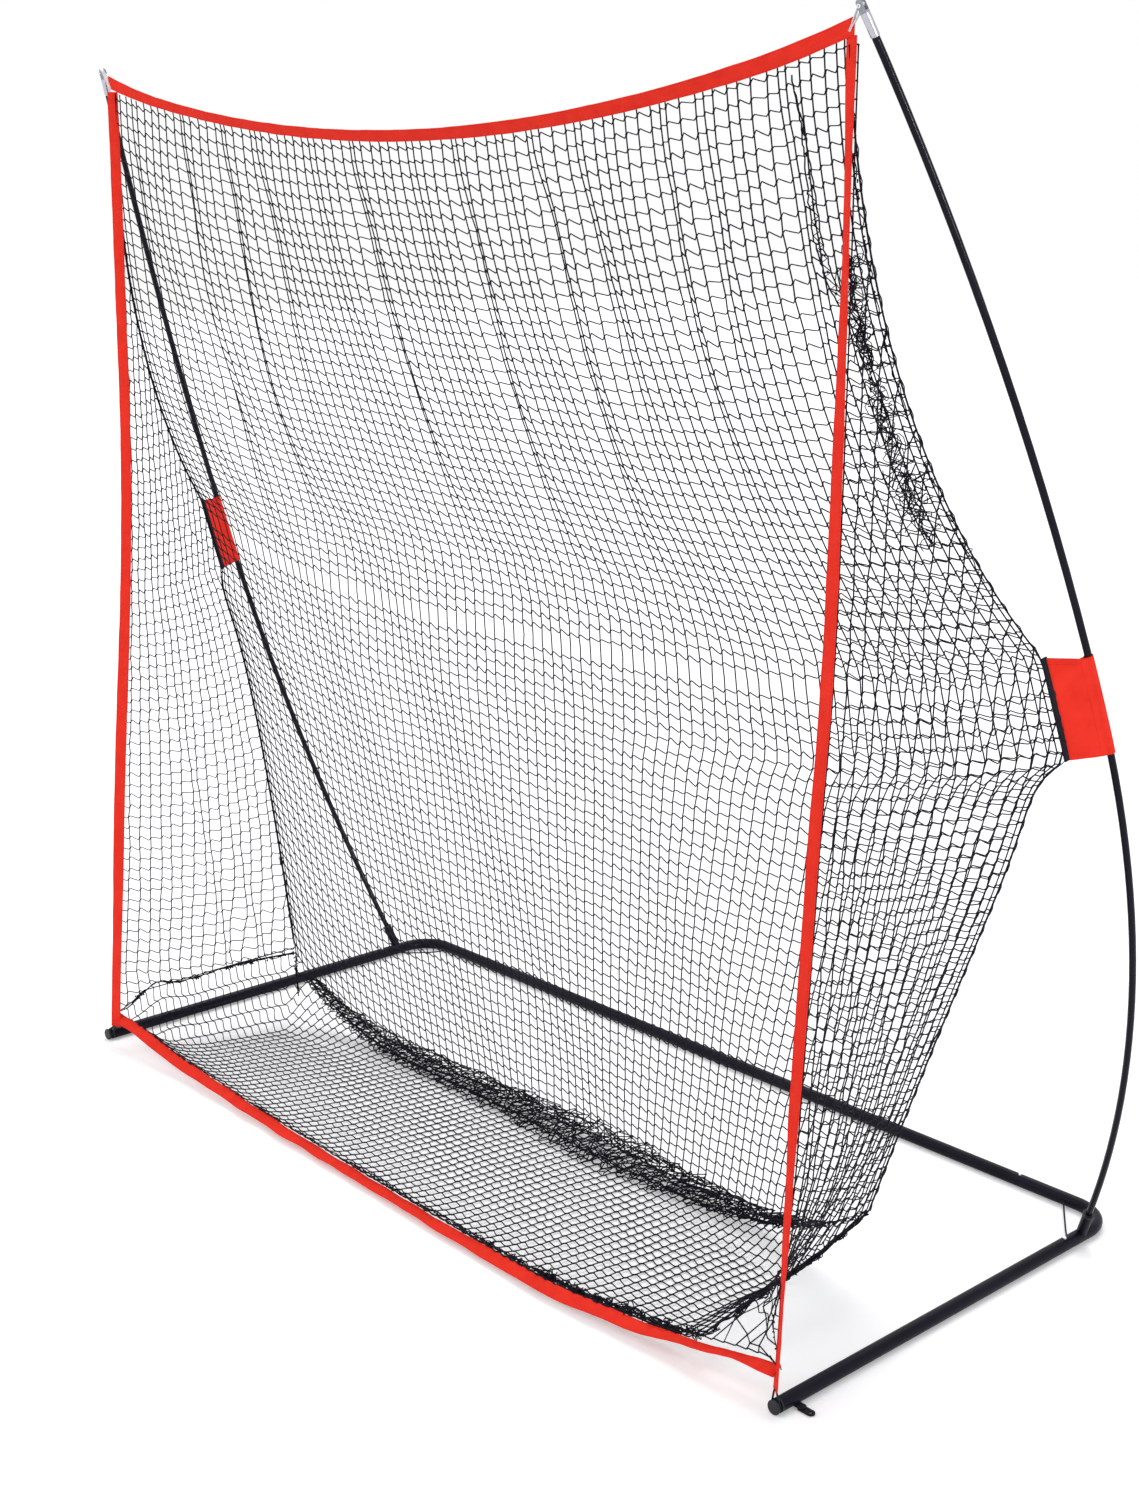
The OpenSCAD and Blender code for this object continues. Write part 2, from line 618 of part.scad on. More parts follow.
// Top and bottom borders, u from -1 at the left to 1 at the right
function top_border(u) = [u * top_corner.x, top_corner.y, top_corner.z - top_sag * (1 - u * u)];
bottom_mid_lift = 4;        // of the bottom border's lower edge
bottom_mid = [0, cap_y - bottom_mid_out, bottom_mid_lift];
function bottom_border(u) = [u * front_corner.x,
    mix(bottom_mid.y, front_corner.y, u * u), mix(bottom_mid.z, front_corner.z, u * u)];
tape_lie = tape_w * [0, cos(tape_tilt), sin(tape_tilt)];         // across the bottom border
tape_face = tape_t * [0, sin(tape_tilt), -cos(tape_tilt)];       // through its thickness
// Where netting or a cord starts, just behind the bottom border
tape_behind = tape_lie + [0, tape_face.y / 2 + fit, 0];
function behind_border(x) = bottom_border(x / front_corner.x) + tape_behind;

// Bottom seam of a side, from the bottom border to the rear corner
function seam_start(side) = front_corner.x - (side < 0 ? seam_start_left : seam_start_right);
// The left one rises soon, the right one lies slack and low
left_pull_in = 85;
left_pull_back = 204;
right_pull_in = 184;
right_pull_back = 218;
function seam_pull(side) = side < 0
    ? [leg_x - left_pull_in, cap_y + left_pull_back, rear_lift]
    : [leg_x - right_pull_in, cap_y + right_pull_back, rear_lift / 2];
function floor_seam(side, t) = bow3(behind_border(seam_start(side)) + [0, seam_cord_d / 2, 0],
                                    seam_pull(side), rear_corner, t);

// Middle line of the back, row by row
ground = fit + net_t / 2;
back_mid_tab_y = 430;       // depth of the back's middle at the sleeves' height
back_belly = 15;            // how far the upper back hangs forward between its edges
back_foot_y = cap_y + floor_depth;
top_edge = [0, (tape_t + net_t) / 2 + fit, -tape_w - fit];       // from the top border to the netting
function back_mid(j) = j <= lower_rows
    ? [0, mix(back_foot_y, cap_y + back_mid_tab_y, j / lower_rows),
       mix(ground, tab_low.z + rear_corner.z / 6, j / lower_rows)]
    : let (t = (j - lower_rows - 1) / upper_rows)
      [0, mix(cap_y + back_mid_tab_y, top_corner.y + top_edge.y, t) - 4 * back_belly * t * (1 - t),
       mix(tab_high.z, top_corner.z - top_sag + top_edge.z, t)];
seam_gap = 1.6;             // from the middle of one panel to the seam
top_inset = 2.2;            // of the back's top corners
foot_rise = 2;              // of the back's foot above the rear corners
// A point of the back: u from -1 to 1, row j; its lower rows lie flat in the middle
function back_point(u, j) = let (m = back_mid(j), s = back_seam(j), p = 2 + 3 * (1 - j / net_rows))
    [u * s.x, mix(m.y, s.y, u * u), mix(m.z, s.z, pow(abs(u), p))];
function back_seam(j) = seam_point(j) + [-seam_gap, 0, 0]
    + (j == net_rows ? top_edge - [top_inset, 0, 0] : [0, 0, 0])
    + (j == 0 ? [0, 0, foot_rise] : [0, 0, 0]);

// ---- Coarse netting: a sheet with a hole in each mesh ----
// pts[j][i] are the mesh's knots, half is the offset from the middle to one face
function knot_at(pts, u, v) = let (
    i = min(floor(u), len(pts[0]) - 2), j = min(floor(v), len(pts) - 2), a = u - i, b = v - j)
    mix(mix(pts[j][i], pts[j][i + 1], a), mix(pts[j + 1][i], pts[j + 1][i + 1], a), b);
// Edges of the holes along one direction, for n meshes of the given size
function hole_edges(n, size) = let (w = strand_w / 2 / size)
    [0, for (i = [0:n - 1]) each [i + (i == 0 ? 2 * w : w), i + 1 - (i == n - 1 ? 2 * w : w)], n];
module netting(pts, half) {
    n = len(pts[0]) - 1;
    m = len(pts) - 1;
    us = hole_edges(n, norm(pts[floor(m / 2)][1] - pts[floor(m / 2)][0]));
    vs = hole_edges(m, norm(pts[1][floor(n / 2)] - pts[0][floor(n / 2)]));
    nc = len(us);
    nr = len(vs);
    mid = [for (v = vs, u = us) knot_at(pts, u, v)];
    face = nc * nr;
    function solid(r, c) = r >= 0 && c >= 0 && r < nr - 1 && c < nc - 1 && (r % 2 == 0 || c % 2 == 0);
    function id(r, c) = r * nc + c;
    function wall(a, b) = [[a, b, b + face], [a, b + face, a + face]];
    faces = [for (r = [0:nr - 2], c = [0:nc - 2]) if (solid(r, c)) let (
            a = id(r, c), b = id(r, c + 1), d = id(r + 1, c + 1), e = id(r + 1, c))
        each concat(
            [[a, b, d], [a, d, e], [a + face, d + face, b + face], [a + face, e + face, d + face]],
            solid(r - 1, c) ? [] : wall(b, a),
            solid(r + 1, c) ? [] : wall(e, d),
            solid(r, c - 1) ? [] : wall(a, e),
            solid(r, c + 1) ? [] : wall(d, b))];
    polyhedron(concat([for (p = mid) p - half], [for (p = mid) p + half]), faces, convexity = 10);
}

back_split = lower_rows + 1;
split_gap = fit / 2;
function back_rows(from, to, low, high) = [for (j = [from:to]) [for (i = [0:back_cols])
    back_point(2 * i / back_cols - 1, j) + [0, 0, j == from ? low : j == to ? high : 0]]];
module net_back_upper() {
    color(black_cord) netting(back_rows(back_split, net_rows, split_gap, 0), [0, -net_t / 2, 0]);
}
module net_back_lower() {
    color(black_cord) netting([for (j = [0:back_split]) [for (i = [0:back_cols])
        let (u = 2 * i / back_cols - 1)
        j == 0 ? back_foot(u) : back_point(u, j) - [0, 0, j == back_split ? split_gap : 0]]],
        [0, -net_t / 2, 0]);
}
// The back's lower edge lies behind the gathered netting
function roll_width(u) = mix(roll_w_left, roll_w_right, (u + 1) / 2);
function back_foot(u) = let (p = back_point(u, 0))
    [p.x, p.y, max(p.z, fit)];

// Side panel, knots from the border at i = 0 to the back seam; its lowest row follows the
// bottom seam, and the next one starts at the net's front corner
side_half = net_t / 2 * unit([1, -0.45, 0]);
function side_point(i, j) = mix(side_front(j), side_back(j), i / depth_cols);
behind_tape = tape_t / 2 + net_t / 2 - fit / 3;
top_tail = [2, 12, top_edge.z];                  // a side panel's top corner, behind the back's
function side_front(j) = side_border(j) + [0, behind_tape, 0]
    + (j == net_rows ? [0, 0, top_edge.z] : [0, 0, 0]);
function side_back(j) = seam_point(j) + [fit, -seam_gap, 0] + (j == net_rows ? top_tail : [0, 0, 0]);
seam_rise = seam_cord_d / 2 + net_t / 2 - fit / 2 + sliver;
corner_in = 4;              // where the second row starts, inside and above the tape's corner
corner_rise = 20;
corner_start = [front_corner.x - corner_in, behind_border(front_corner.x).y + net_t,
                front_corner.z + tape_lie.z + corner_rise];
corner_share = 0.35;
corner_end = mix(side_back(0), side_back(1), corner_share);
function seam_knot(side, i) = floor_seam(side, mix(0.01, 0.98, i / depth_cols));
module net_side(side) {
    netting(concat(
        [[for (i = [0:depth_cols]) seam_knot(side, i) + [0, 0, seam_rise]]],
        [[for (i = [0:depth_cols]) mix(corner_start, corner_end, i / depth_cols)]],
        [for (j = [1:net_rows]) [for (i = [0:depth_cols]) side_point(i, j)]]), side_half);
}
module net_side_left() { color(black_cord) on_side(-1) net_side(-1); }
module net_side_right() { color(black_cord) on_side(1) net_side(1); }

// Floor panel, from the bottom border back to the gathered netting
floor_gap = seam_cord_d / 2 + 3 * fit;
roll_gap = 3 * fit;
function roll_front(x) = let (u = x / back_seam(0).x)
    back_point(u, 0).y - net_t / 2 - fit - roll_width(u) - roll_gap;
function floor_point(u, j) = let (
    v = j / depth_cols, s = seam_knot(u, j) - [floor_gap, 0, 0], x = u * s.x, f = behind_border(x),
    y1 = mix(roll_front(x), s.y, pow(abs(u), 8)), z1 = mix(ground, s.z, pow(abs(u), 5)))
    abs(u) == 1 ? [x, s.y, s.z]
                : [x, mix(f.y, y1, v), max(ground, mix(f.z, z1, pow(v, 0.3)))];
module net_floor() {
    color(black_cord) netting([for (j = [0:depth_cols]) [for (i = [0:back_cols])
        floor_point(2 * i / back_cols - 1, j)]], [0, 0, net_t / 2]);
}

// Gathered netting on the ground in front of the back, thicker to the right
roll_facets = 7;
module net_roll() {
    reach = roll_len / 2 / back_seam(0).x;
    color(black_cord) loft([for (i = [0:2 * back_cols]) let (
            u = reach * (i / back_cols - 1), p = back_point(u, 0), w = roll_width(u),
            h = mix(roll_h_left, roll_h_right, (u + 1) / 2), taper = 1 - 0.6 * pow(abs(u / reach), 6))
        [for (k = [0:roll_facets]) let (a = 180 * k / roll_facets)
            [p.x, p.y - net_t / 2 - 2 * fit - w / 2 + w / 2 * cos(a) * taper,
             p.z - ground + fit + h * sin(a) * taper]]]);
}

// ---- Seam cords ----
function ring_round(c, r, a, b, n) = [for (k = [0:n - 1]) let (t = 360 * k / n)
    c + r * (cos(t) * a + sin(t) * b)];
module seam_cord(side) {
    loft([for (i = [0:depth_cols])
        ring_round(seam_knot(side, i), seam_cord_d / 2, [0, 0, 1], [1, 0, 0], 8)]);
}
module seam_cord_left() { color(black_cord) on_side(-1) seam_cord(-1); }
module seam_cord_right() { color(black_cord) on_side(1) seam_cord(1); }

// ---- Borders ----
module border_top() {
    color(red_cloth) loft([for (i = [0:back_cols]) let (u = 2 * i / back_cols - 1, p = top_border(u))
        plate_ring(p - [0, tape_t / 2, tape_w], [0, tape_t, 0], [0, 0, tape_w])]);
}
top_drop = top_border(1).z - top_border(1 - 2 / back_cols).z;
top_slope = top_drop / (2 / back_cols * top_corner.x);            // of the top border's last stretch
module border_side() {
    loft([for (j = [0:net_rows]) let (
            last = j == net_rows, p = side_border(j) - [0, tape_t / 2, last ? tape_w + fit : 0])
        plate_ring(p, [0, tape_t, 0], [-tape_w, 0, last ? -tape_w * top_slope : 0])]);
}
module border_left() { color(red_cloth) on_side(-1) border_side(); }
module border_right() { color(red_cloth) on_side(1) border_side(); }
module border_bottom() {
    color(red_cloth) loft([for (i = [0:back_cols]) let (
            u = 2 * i / back_cols - 1, p = bottom_border(u * (1 - (tape_w + fit) / front_corner.x)))
        plate_ring(p - tape_face / 2, tape_face, tape_lie)]);
}

// ---- Red sleeves round the poles ----
tab_ring_r = pole_d / 2 + 2 * fit;               // loose enough for the change of bend at the joint
tab_bend_r = mix(lower_bend_r, upper_bend_r, 0.75);
tab_tail = tab_reach - edging_w - 2 * fit;
module tab_profile() {
    difference() {
        union() {
            circle(tab_ring_r + cloth_t);
            rotate(tab_angle) translate([0, -cloth_t]) square([tab_tail, 2 * cloth_t]);
        }
        circle(tab_ring_r);
    }
}
module over_tab() {
    at_joint() along(tab_bend_r, sleeve_tab_at - sleeve_tab_h / 2 - pole_len)
        bent(tab_bend_r, sleeve_tab_h) children();
}
module sleeve_tab() { over_tab() tab_profile(); }
module tab_edging() {
    over_tab() rotate(tab_angle) translate([tab_tail + fit / 2, -cloth_t - 1])
        square([edging_w, 2 * (cloth_t + 1)]);
}
module sleeve_tab_left() { color(red_cloth) on_side(-1) sleeve_tab(); }
module sleeve_tab_right() { color(red_cloth) on_side(1) sleeve_tab(); }
module tab_edging_left() { color(black_cord) on_side(-1) tab_edging(); }
module tab_edging_right() { color(black_cord) on_side(1) tab_edging(); }

// ---- Elastic loop from an end plug's neck up to the net's front corner ----
loop_low_r = neck_d / 2 + loop_cord_d / 2 + fit;
loop_high_r = loop_cord_d / 2 + 0.5;
loop_axis = front_corner - [leg_x, 0, tube_r];
loop_lean = atan2(loop_axis.x, loop_axis.z);
loop_rise = norm([loop_axis.x, loop_axis.z]) - loop_high_r - loop_cord_d / 2 - fit;
loop_angle = acos((loop_low_r - loop_high_r) / loop_rise);
// Points round the loop, seen along the leg: a from 0 to 360 in the loop's own plane
function loop_point(a) = let (
    high = abs(a) < loop_angle, r = high ? loop_high_r : loop_low_r, b = a + loop_lean)
    [leg_x + (high ? loop_rise * sin(loop_lean) : 0) + r * sin(b), loop_y,
     tube_r + (high ? loop_rise * cos(loop_lean) : 0) + r * cos(b)];
loop_stops = concat([for (k = [-3:3]) k / 3 * (loop_angle - 1)],
                    [for (k = [0:9]) mix(loop_angle + 1, 359 - loop_angle, k / 9)]);
module foot_loop() {
    closed_loft([for (a = loop_stops) let (b = (a > 180 ? a - 360 : a) + loop_lean)
        ring_round(loop_point(a > 180 ? a - 360 : a), loop_cord_d / 2,
                   [0, 1, 0], [sin(b), 0, cos(b)], 8)]);
}
module foot_loop_left() { color(black_cord) on_side(-1) foot_loop(); }
module foot_loop_right() { color(black_cord) on_side(1) foot_loop(); }

// ---- Webbing loop from the tip's cross pin to the net's top corner ----
web_w = fork_slot - 2 * fit;
web_t = 1.2;
loop_pin = tip - along_at(2 * pole_len) * (fork_len - pin_rise);
loop_end = top_corner + [-2, 0, 2 * fit];
web_dir = unit(loop_end - loop_pin);
web_side = unit(cross(side_dir, web_dir));
// Middle of the band: down one side, round the pin and back along the other
function web_point(a, r) = loop_pin + r * (cos(a) * web_side - sin(a) * web_dir);
module tip_loop() {
    r = cross_pin_d / 2 + fit;
    reach = norm(loop_end - loop_pin);
    end = loop_pin + reach * web_dir;
    function band(p, out) = plate_ring(p - side_dir * web_w / 2, out * web_t, side_dir * web_w);
    loft(concat(
        [band(end + web_side * 0.2, web_side)],
        [for (k = [0:6]) let (a = 30 * k) band(web_point(a, r), cos(a) * web_side - sin(a) * web_dir)],
        [band(end - web_side * 0.2, -web_side)]));
}
module tip_loop_left() { color(white_nylon) on_side(-1) tip_loop(); }
module tip_loop_right() { color(white_nylon) on_side(1) tip_loop(); }

leg_left();
leg_right();
corner_left();
corner_right();
socket_bush_left();
socket_bush_right();
rear_bar_left();
rear_bar_right();
rear_bar_joiner();
end_plug_left();
end_plug_right();
stake_bracket_left();
stake_bracket_right();
stake_tab_left();
stake_tab_right();
button_leg_left();
button_leg_right();
button_bar_left();
button_bar_right();
button_joiner();
leaf_spring_leg_left();
leaf_spring_leg_right();
leaf_spring_bar_left();
leaf_spring_bar_right();
leaf_spring_joiner();
retaining_cord_left();
retaining_cord_right();
pole_lower_left();
pole_lower_right();
pole_upper_left();
pole_upper_right();
pole_pin_left();
pole_pin_right();
tip_sleeve_left();
tip_sleeve_right();
tip_cap_left();
tip_cap_right();
tip_pin_left();
tip_pin_right();
tip_loop_left();
tip_loop_right();
border_top();
border_left();
border_right();
border_bottom();
net_back_upper();
net_back_lower();
net_side_left();
net_side_right();
net_floor();
net_roll();
seam_cord_left();
seam_cord_right();
sleeve_tab_left();
sleeve_tab_right();
tab_edging_left();
tab_edging_right();
foot_loop_left();
foot_loop_right();
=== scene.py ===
import json
import math

import bpy
import numpy as np
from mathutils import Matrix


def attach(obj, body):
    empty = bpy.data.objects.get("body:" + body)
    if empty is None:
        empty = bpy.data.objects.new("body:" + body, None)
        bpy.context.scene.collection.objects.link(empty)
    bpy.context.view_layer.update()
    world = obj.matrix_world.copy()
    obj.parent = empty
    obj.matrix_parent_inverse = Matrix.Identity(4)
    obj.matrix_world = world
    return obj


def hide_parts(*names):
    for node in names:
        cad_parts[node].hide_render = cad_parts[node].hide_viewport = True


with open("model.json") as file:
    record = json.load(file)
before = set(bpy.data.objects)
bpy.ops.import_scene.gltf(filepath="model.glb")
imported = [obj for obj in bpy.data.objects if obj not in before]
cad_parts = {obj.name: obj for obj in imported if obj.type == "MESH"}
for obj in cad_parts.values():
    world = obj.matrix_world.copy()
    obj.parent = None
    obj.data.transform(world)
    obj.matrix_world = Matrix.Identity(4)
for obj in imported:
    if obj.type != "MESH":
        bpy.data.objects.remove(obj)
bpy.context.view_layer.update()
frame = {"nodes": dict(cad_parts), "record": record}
ROOT = "frame"
MM = 0.001


# ---- Camera, fitted to the photo ----
FOCAL_PX, PHOTO_HEIGHT_PX, SENSOR_MM = 2061, 1500, 36
CAMERA_AT = (2.968, -2.674, 1.866)
CAMERA_DOWN_DEG, CAMERA_TURN_DEG = 14.8, 47.7


def add_camera():
    data = bpy.data.cameras.new("Camera")
    data.lens = FOCAL_PX / PHOTO_HEIGHT_PX * SENSOR_MM
    data.sensor_width = SENSOR_MM
    data.clip_end = 60
    camera = bpy.data.objects.new("Camera", data)
    bpy.context.scene.collection.objects.link(camera)
    camera.location = CAMERA_AT
    camera.rotation_euler = (math.radians(90 - CAMERA_DOWN_DEG), 0, math.radians(CAMERA_TURN_DEG))
    bpy.context.scene.camera = camera


add_camera()


# ---- Small vector helpers ----
def vec(*v):
    return np.array(v, float)


def unit(v):
    v = np.asarray(v, float)
    return v / np.maximum(np.linalg.norm(v, axis=-1, keepdims=True), 1e-12)


def mix(a, b, t):
    return a + (b - a) * t


def bow3(a, b, c, t):
    return mix(mix(a, b, t), mix(b, c, t), t)


def smooth(t):
    t = np.clip(t, 0, 1)
    return t * t * (3 - 2 * t)


def run_along(points):
    """Distance from the first point to each point of a polyline."""
    return np.concatenate([[0], np.cumsum(np.linalg.norm(np.diff(points, axis=0), axis=1))])


def spaced(points, n):
    """n points at equal distances along a polyline."""
    points = np.asarray(points, float)
    run = run_along(points)
    at = np.linspace(0, run[-1], n)
    return np.stack([np.interp(at, run, points[:, k]) for k in range(3)], -1)


def length_of(points):
    return float(np.linalg.norm(np.diff(points, axis=0), axis=1).sum())


def waves(x, seed, count=5, low=2.0, high=9.0):
    """Smooth noise from -1 to 1 along x."""
    r = np.random.default_rng(seed)
    out = np.zeros_like(np.asarray(x, float))
    for _ in range(count):
        out = out + r.uniform(0.4, 1) * np.sin(r.uniform(low, high) * x + r.uniform(0, 6.28))
    return out / (0.7 * count)


def eased(table, x):
    """Smooth curve through the table's places and values."""
    at = np.linspace(table[0][0], table[-1][0], 200)
    value = np.interp(at, *zip(*table))
    soft = np.convolve(np.pad(value, 6, mode="edge"), np.ones(13) / 13, "valid")
    return np.interp(x, at, soft)


FLIP = vec(-1, 1, 1)


def sided(points, side):
    return np.asarray(points, float) * (FLIP if side < 0 else 1)


# ---- The object's lines: the solids' places, and how far the photo's net lies off them ----
LEG_X, CAP_Y, TUBE_R = 1.035, -0.477179, 0.0127
FOOT = vec(LEG_X, 0.370121, TUBE_R)
LEAN, SPLAY, TURN = math.radians(18.9), math.radians(22.5), math.radians(10)
GRIP, POLE_LEN, LOWER_R, UPPER_R, POLE_R = 0.066, 1.150, 2.300, 5.400, 0.006
UP = vec(0, -math.sin(LEAN), math.cos(LEAN))
BACK = vec(0, math.cos(LEAN), math.sin(LEAN))
OUT = vec(math.cos(TURN), 0, 0) + math.sin(TURN) * BACK
SIDE = vec(-math.sin(TURN), 0, 0) + math.cos(TURN) * BACK
FRONT_CORNER = vec(1.025, -0.469679, 0.035)
TOP_CORNER = vec(0.999269, -0.354643, 2.10636)
REAR_CORNER = vec(0.876, -0.054179, 0.150)
# the netting draws the sleeves' free edge inwards and up from where the plain solid has it
LOW_PULL, HIGH_PULL = vec(-0.014, 0.010, 0.019), vec(-0.016, 0.010, 0.029)
TAB_LOW = vec(1.20559, -0.020152, 1.00878) + LOW_PULL
SLEEVE_TOP = 1.16859
TAB_HIGH = vec(1.19164, -0.077466, SLEEVE_TOP) + HIGH_PULL
BACK_FOOT_Y = 0.004821
TAPE_W, TAPE_T, TOP_SAG = 0.025, 0.002, 0.118
# how far the netting's upper edge lies below and behind the top corner
NET_BELOW, NET_BEHIND = 0.0253, 0.0023
TILT = math.radians(40)
MESH = 0.025


def pole_state(s):
    """Place, outward direction and running direction of the right pole at s along it."""
    bent = POLE_LEN - GRIP
    middle = SPLAY - bent / LOWER_R

    def arc(r, a, run):
        b = a - run / r
        return r * (math.cos(b) - math.cos(a)) * OUT + r * (math.sin(a) - math.sin(b)) * UP

    point = FOOT + GRIP * (math.sin(SPLAY) * OUT + math.cos(SPLAY) * UP)
    if s <= POLE_LEN:
        angle = SPLAY - (s - GRIP) / LOWER_R
        point = point + arc(LOWER_R, SPLAY, s - GRIP)
    else:
        angle = middle - (s - POLE_LEN) / UPPER_R
        point = point + arc(LOWER_R, SPLAY, bent) + arc(UPPER_R, middle, s - POLE_LEN)
    return (point, math.cos(angle) * OUT - math.sin(angle) * UP,
            math.sin(angle) * OUT + math.cos(angle) * UP)


def top_border(u):
    u = np.asarray(u, float)
    raised = 0.0085 - 0.0035 * u
    return np.stack([u * TOP_CORNER[0], 0 * u + TOP_CORNER[1],
                     TOP_CORNER[2] - TOP_SAG * (1 - u * u) + raised], -1)


# how far the photo shows each border away from the plain solid's line: (place, metres)
FRONT_BOW = ((-1.03, 0.0), (-0.80, -0.002), (-0.64, -0.008), (-0.48, -0.002), (-0.18, 0.002),
             (0.09, 0.010), (0.22, 0.016), (0.345, 0.022), (0.46, 0.029), (0.57, 0.030),
             (0.66, 0.021), (0.75, 0.012), (0.84, 0.006), (0.93, 0.0), (1.04, 0.0))
RIGHT_BOW = ((0.0, 0.019), (0.08, 0.017), (0.20, 0.012), (0.30, 0.0105), (0.45, 0.006),
             (0.60, 0.005), (0.95, 0.005), (1.10, 0.011), (1.25, 0.013), (1.50, 0.0115),
             (1.95, 0.011), (2.12, 0.014))
LEFT_BOW = ((0.0, -0.010), (0.08, -0.004), (0.16, 0.003), (0.35, 0.010), (0.55, 0.016),
            (0.70, 0.016), (0.88, 0.010), (1.05, 0.004), (1.25, 0.0), (1.45, 0.0), (1.62, 0.006),
            (1.80, 0.007), (2.12, 0.004))


def bottom_border(x):
    u2 = (np.asarray(x, float) / FRONT_CORNER[0]) ** 2
    return np.stack([np.asarray(x, float),
                     mix(CAP_Y - 0.008, FRONT_CORNER[1], u2) - eased(FRONT_BOW, x),
                     mix(0.004, FRONT_CORNER[2], u2)], -1)


def border_lift(x):
    """How far the bottom border's ends are pulled up towards the net's corners."""
    x = np.asarray(x, float)
    return np.where(x < 0, 0.016 * smooth((-x - 0.70) / 0.25), 0.026 * smooth((x - 0.72) / 0.34))


def behind_border(x):
    point = bottom_border(x) + vec(0, TAPE_W * math.cos(TILT) + 0.0009, TAPE_W * math.sin(TILT))
    point[..., 2] += border_lift(x)
    return point


def side_border(side, t):
    t = np.asarray(t, float)[..., None]
    line = mix(FRONT_CORNER, TOP_CORNER, t) + vec(0, 0.130, 0) * t * (1 - t)
    line[..., 0] += eased(RIGHT_BOW if side > 0 else LEFT_BOW, line[..., 2])
    return line


UPPER_PULL = vec(LEG_X + 0.004, CAP_Y + 0.136, mix(TAB_HIGH[2], TOP_CORNER[2], 0.375))
LOWER_PULL = vec(LEG_X + 0.035, CAP_Y + 0.466, mix(REAR_CORNER[2], TAB_LOW[2], 0.73))


def side_seam():
    """The seam between side and back, from the rear corner over the tab to the top corner."""
    t = np.linspace(0, 1, 60)[:, None]
    low = bow3(REAR_CORNER, LOWER_PULL, TAB_LOW, t)
    # just under the sleeve the netting falls away forwards
    below = np.linalg.norm(low - TAB_LOW, axis=1, keepdims=True) / 0.060
    low = low + vec(-0.012, -0.020, 0) * below * np.exp(1 - below)
    high = bow3(TAB_HIGH, UPPER_PULL, TOP_CORNER + vec(-0.003, NET_BEHIND, -NET_BELOW), t)
    return np.concatenate([low, high])


def floor_seam(side, t):
    start = LEG_X - 0.010 - (0.020 if side < 0 else 0.170)
    pull = (vec(LEG_X - 0.085, CAP_Y + 0.204, REAR_CORNER[2]) if side < 0
            else vec(LEG_X - 0.184, CAP_Y + 0.218, REAR_CORNER[2] / 2))
    t = np.asarray(t, float)
    line = bow3(behind_border(start) + vec(0, 0.0025, 0), pull, REAR_CORNER, t[..., None])
    if side < 0:
        line[..., 2] += 0.026 * np.exp(-((t - 0.20) / 0.11) ** 2)
    else:
        line[..., 2] -= 0.008 * np.sin(math.pi * np.clip((t - 0.45) / 0.55, 0, 1))
    return line


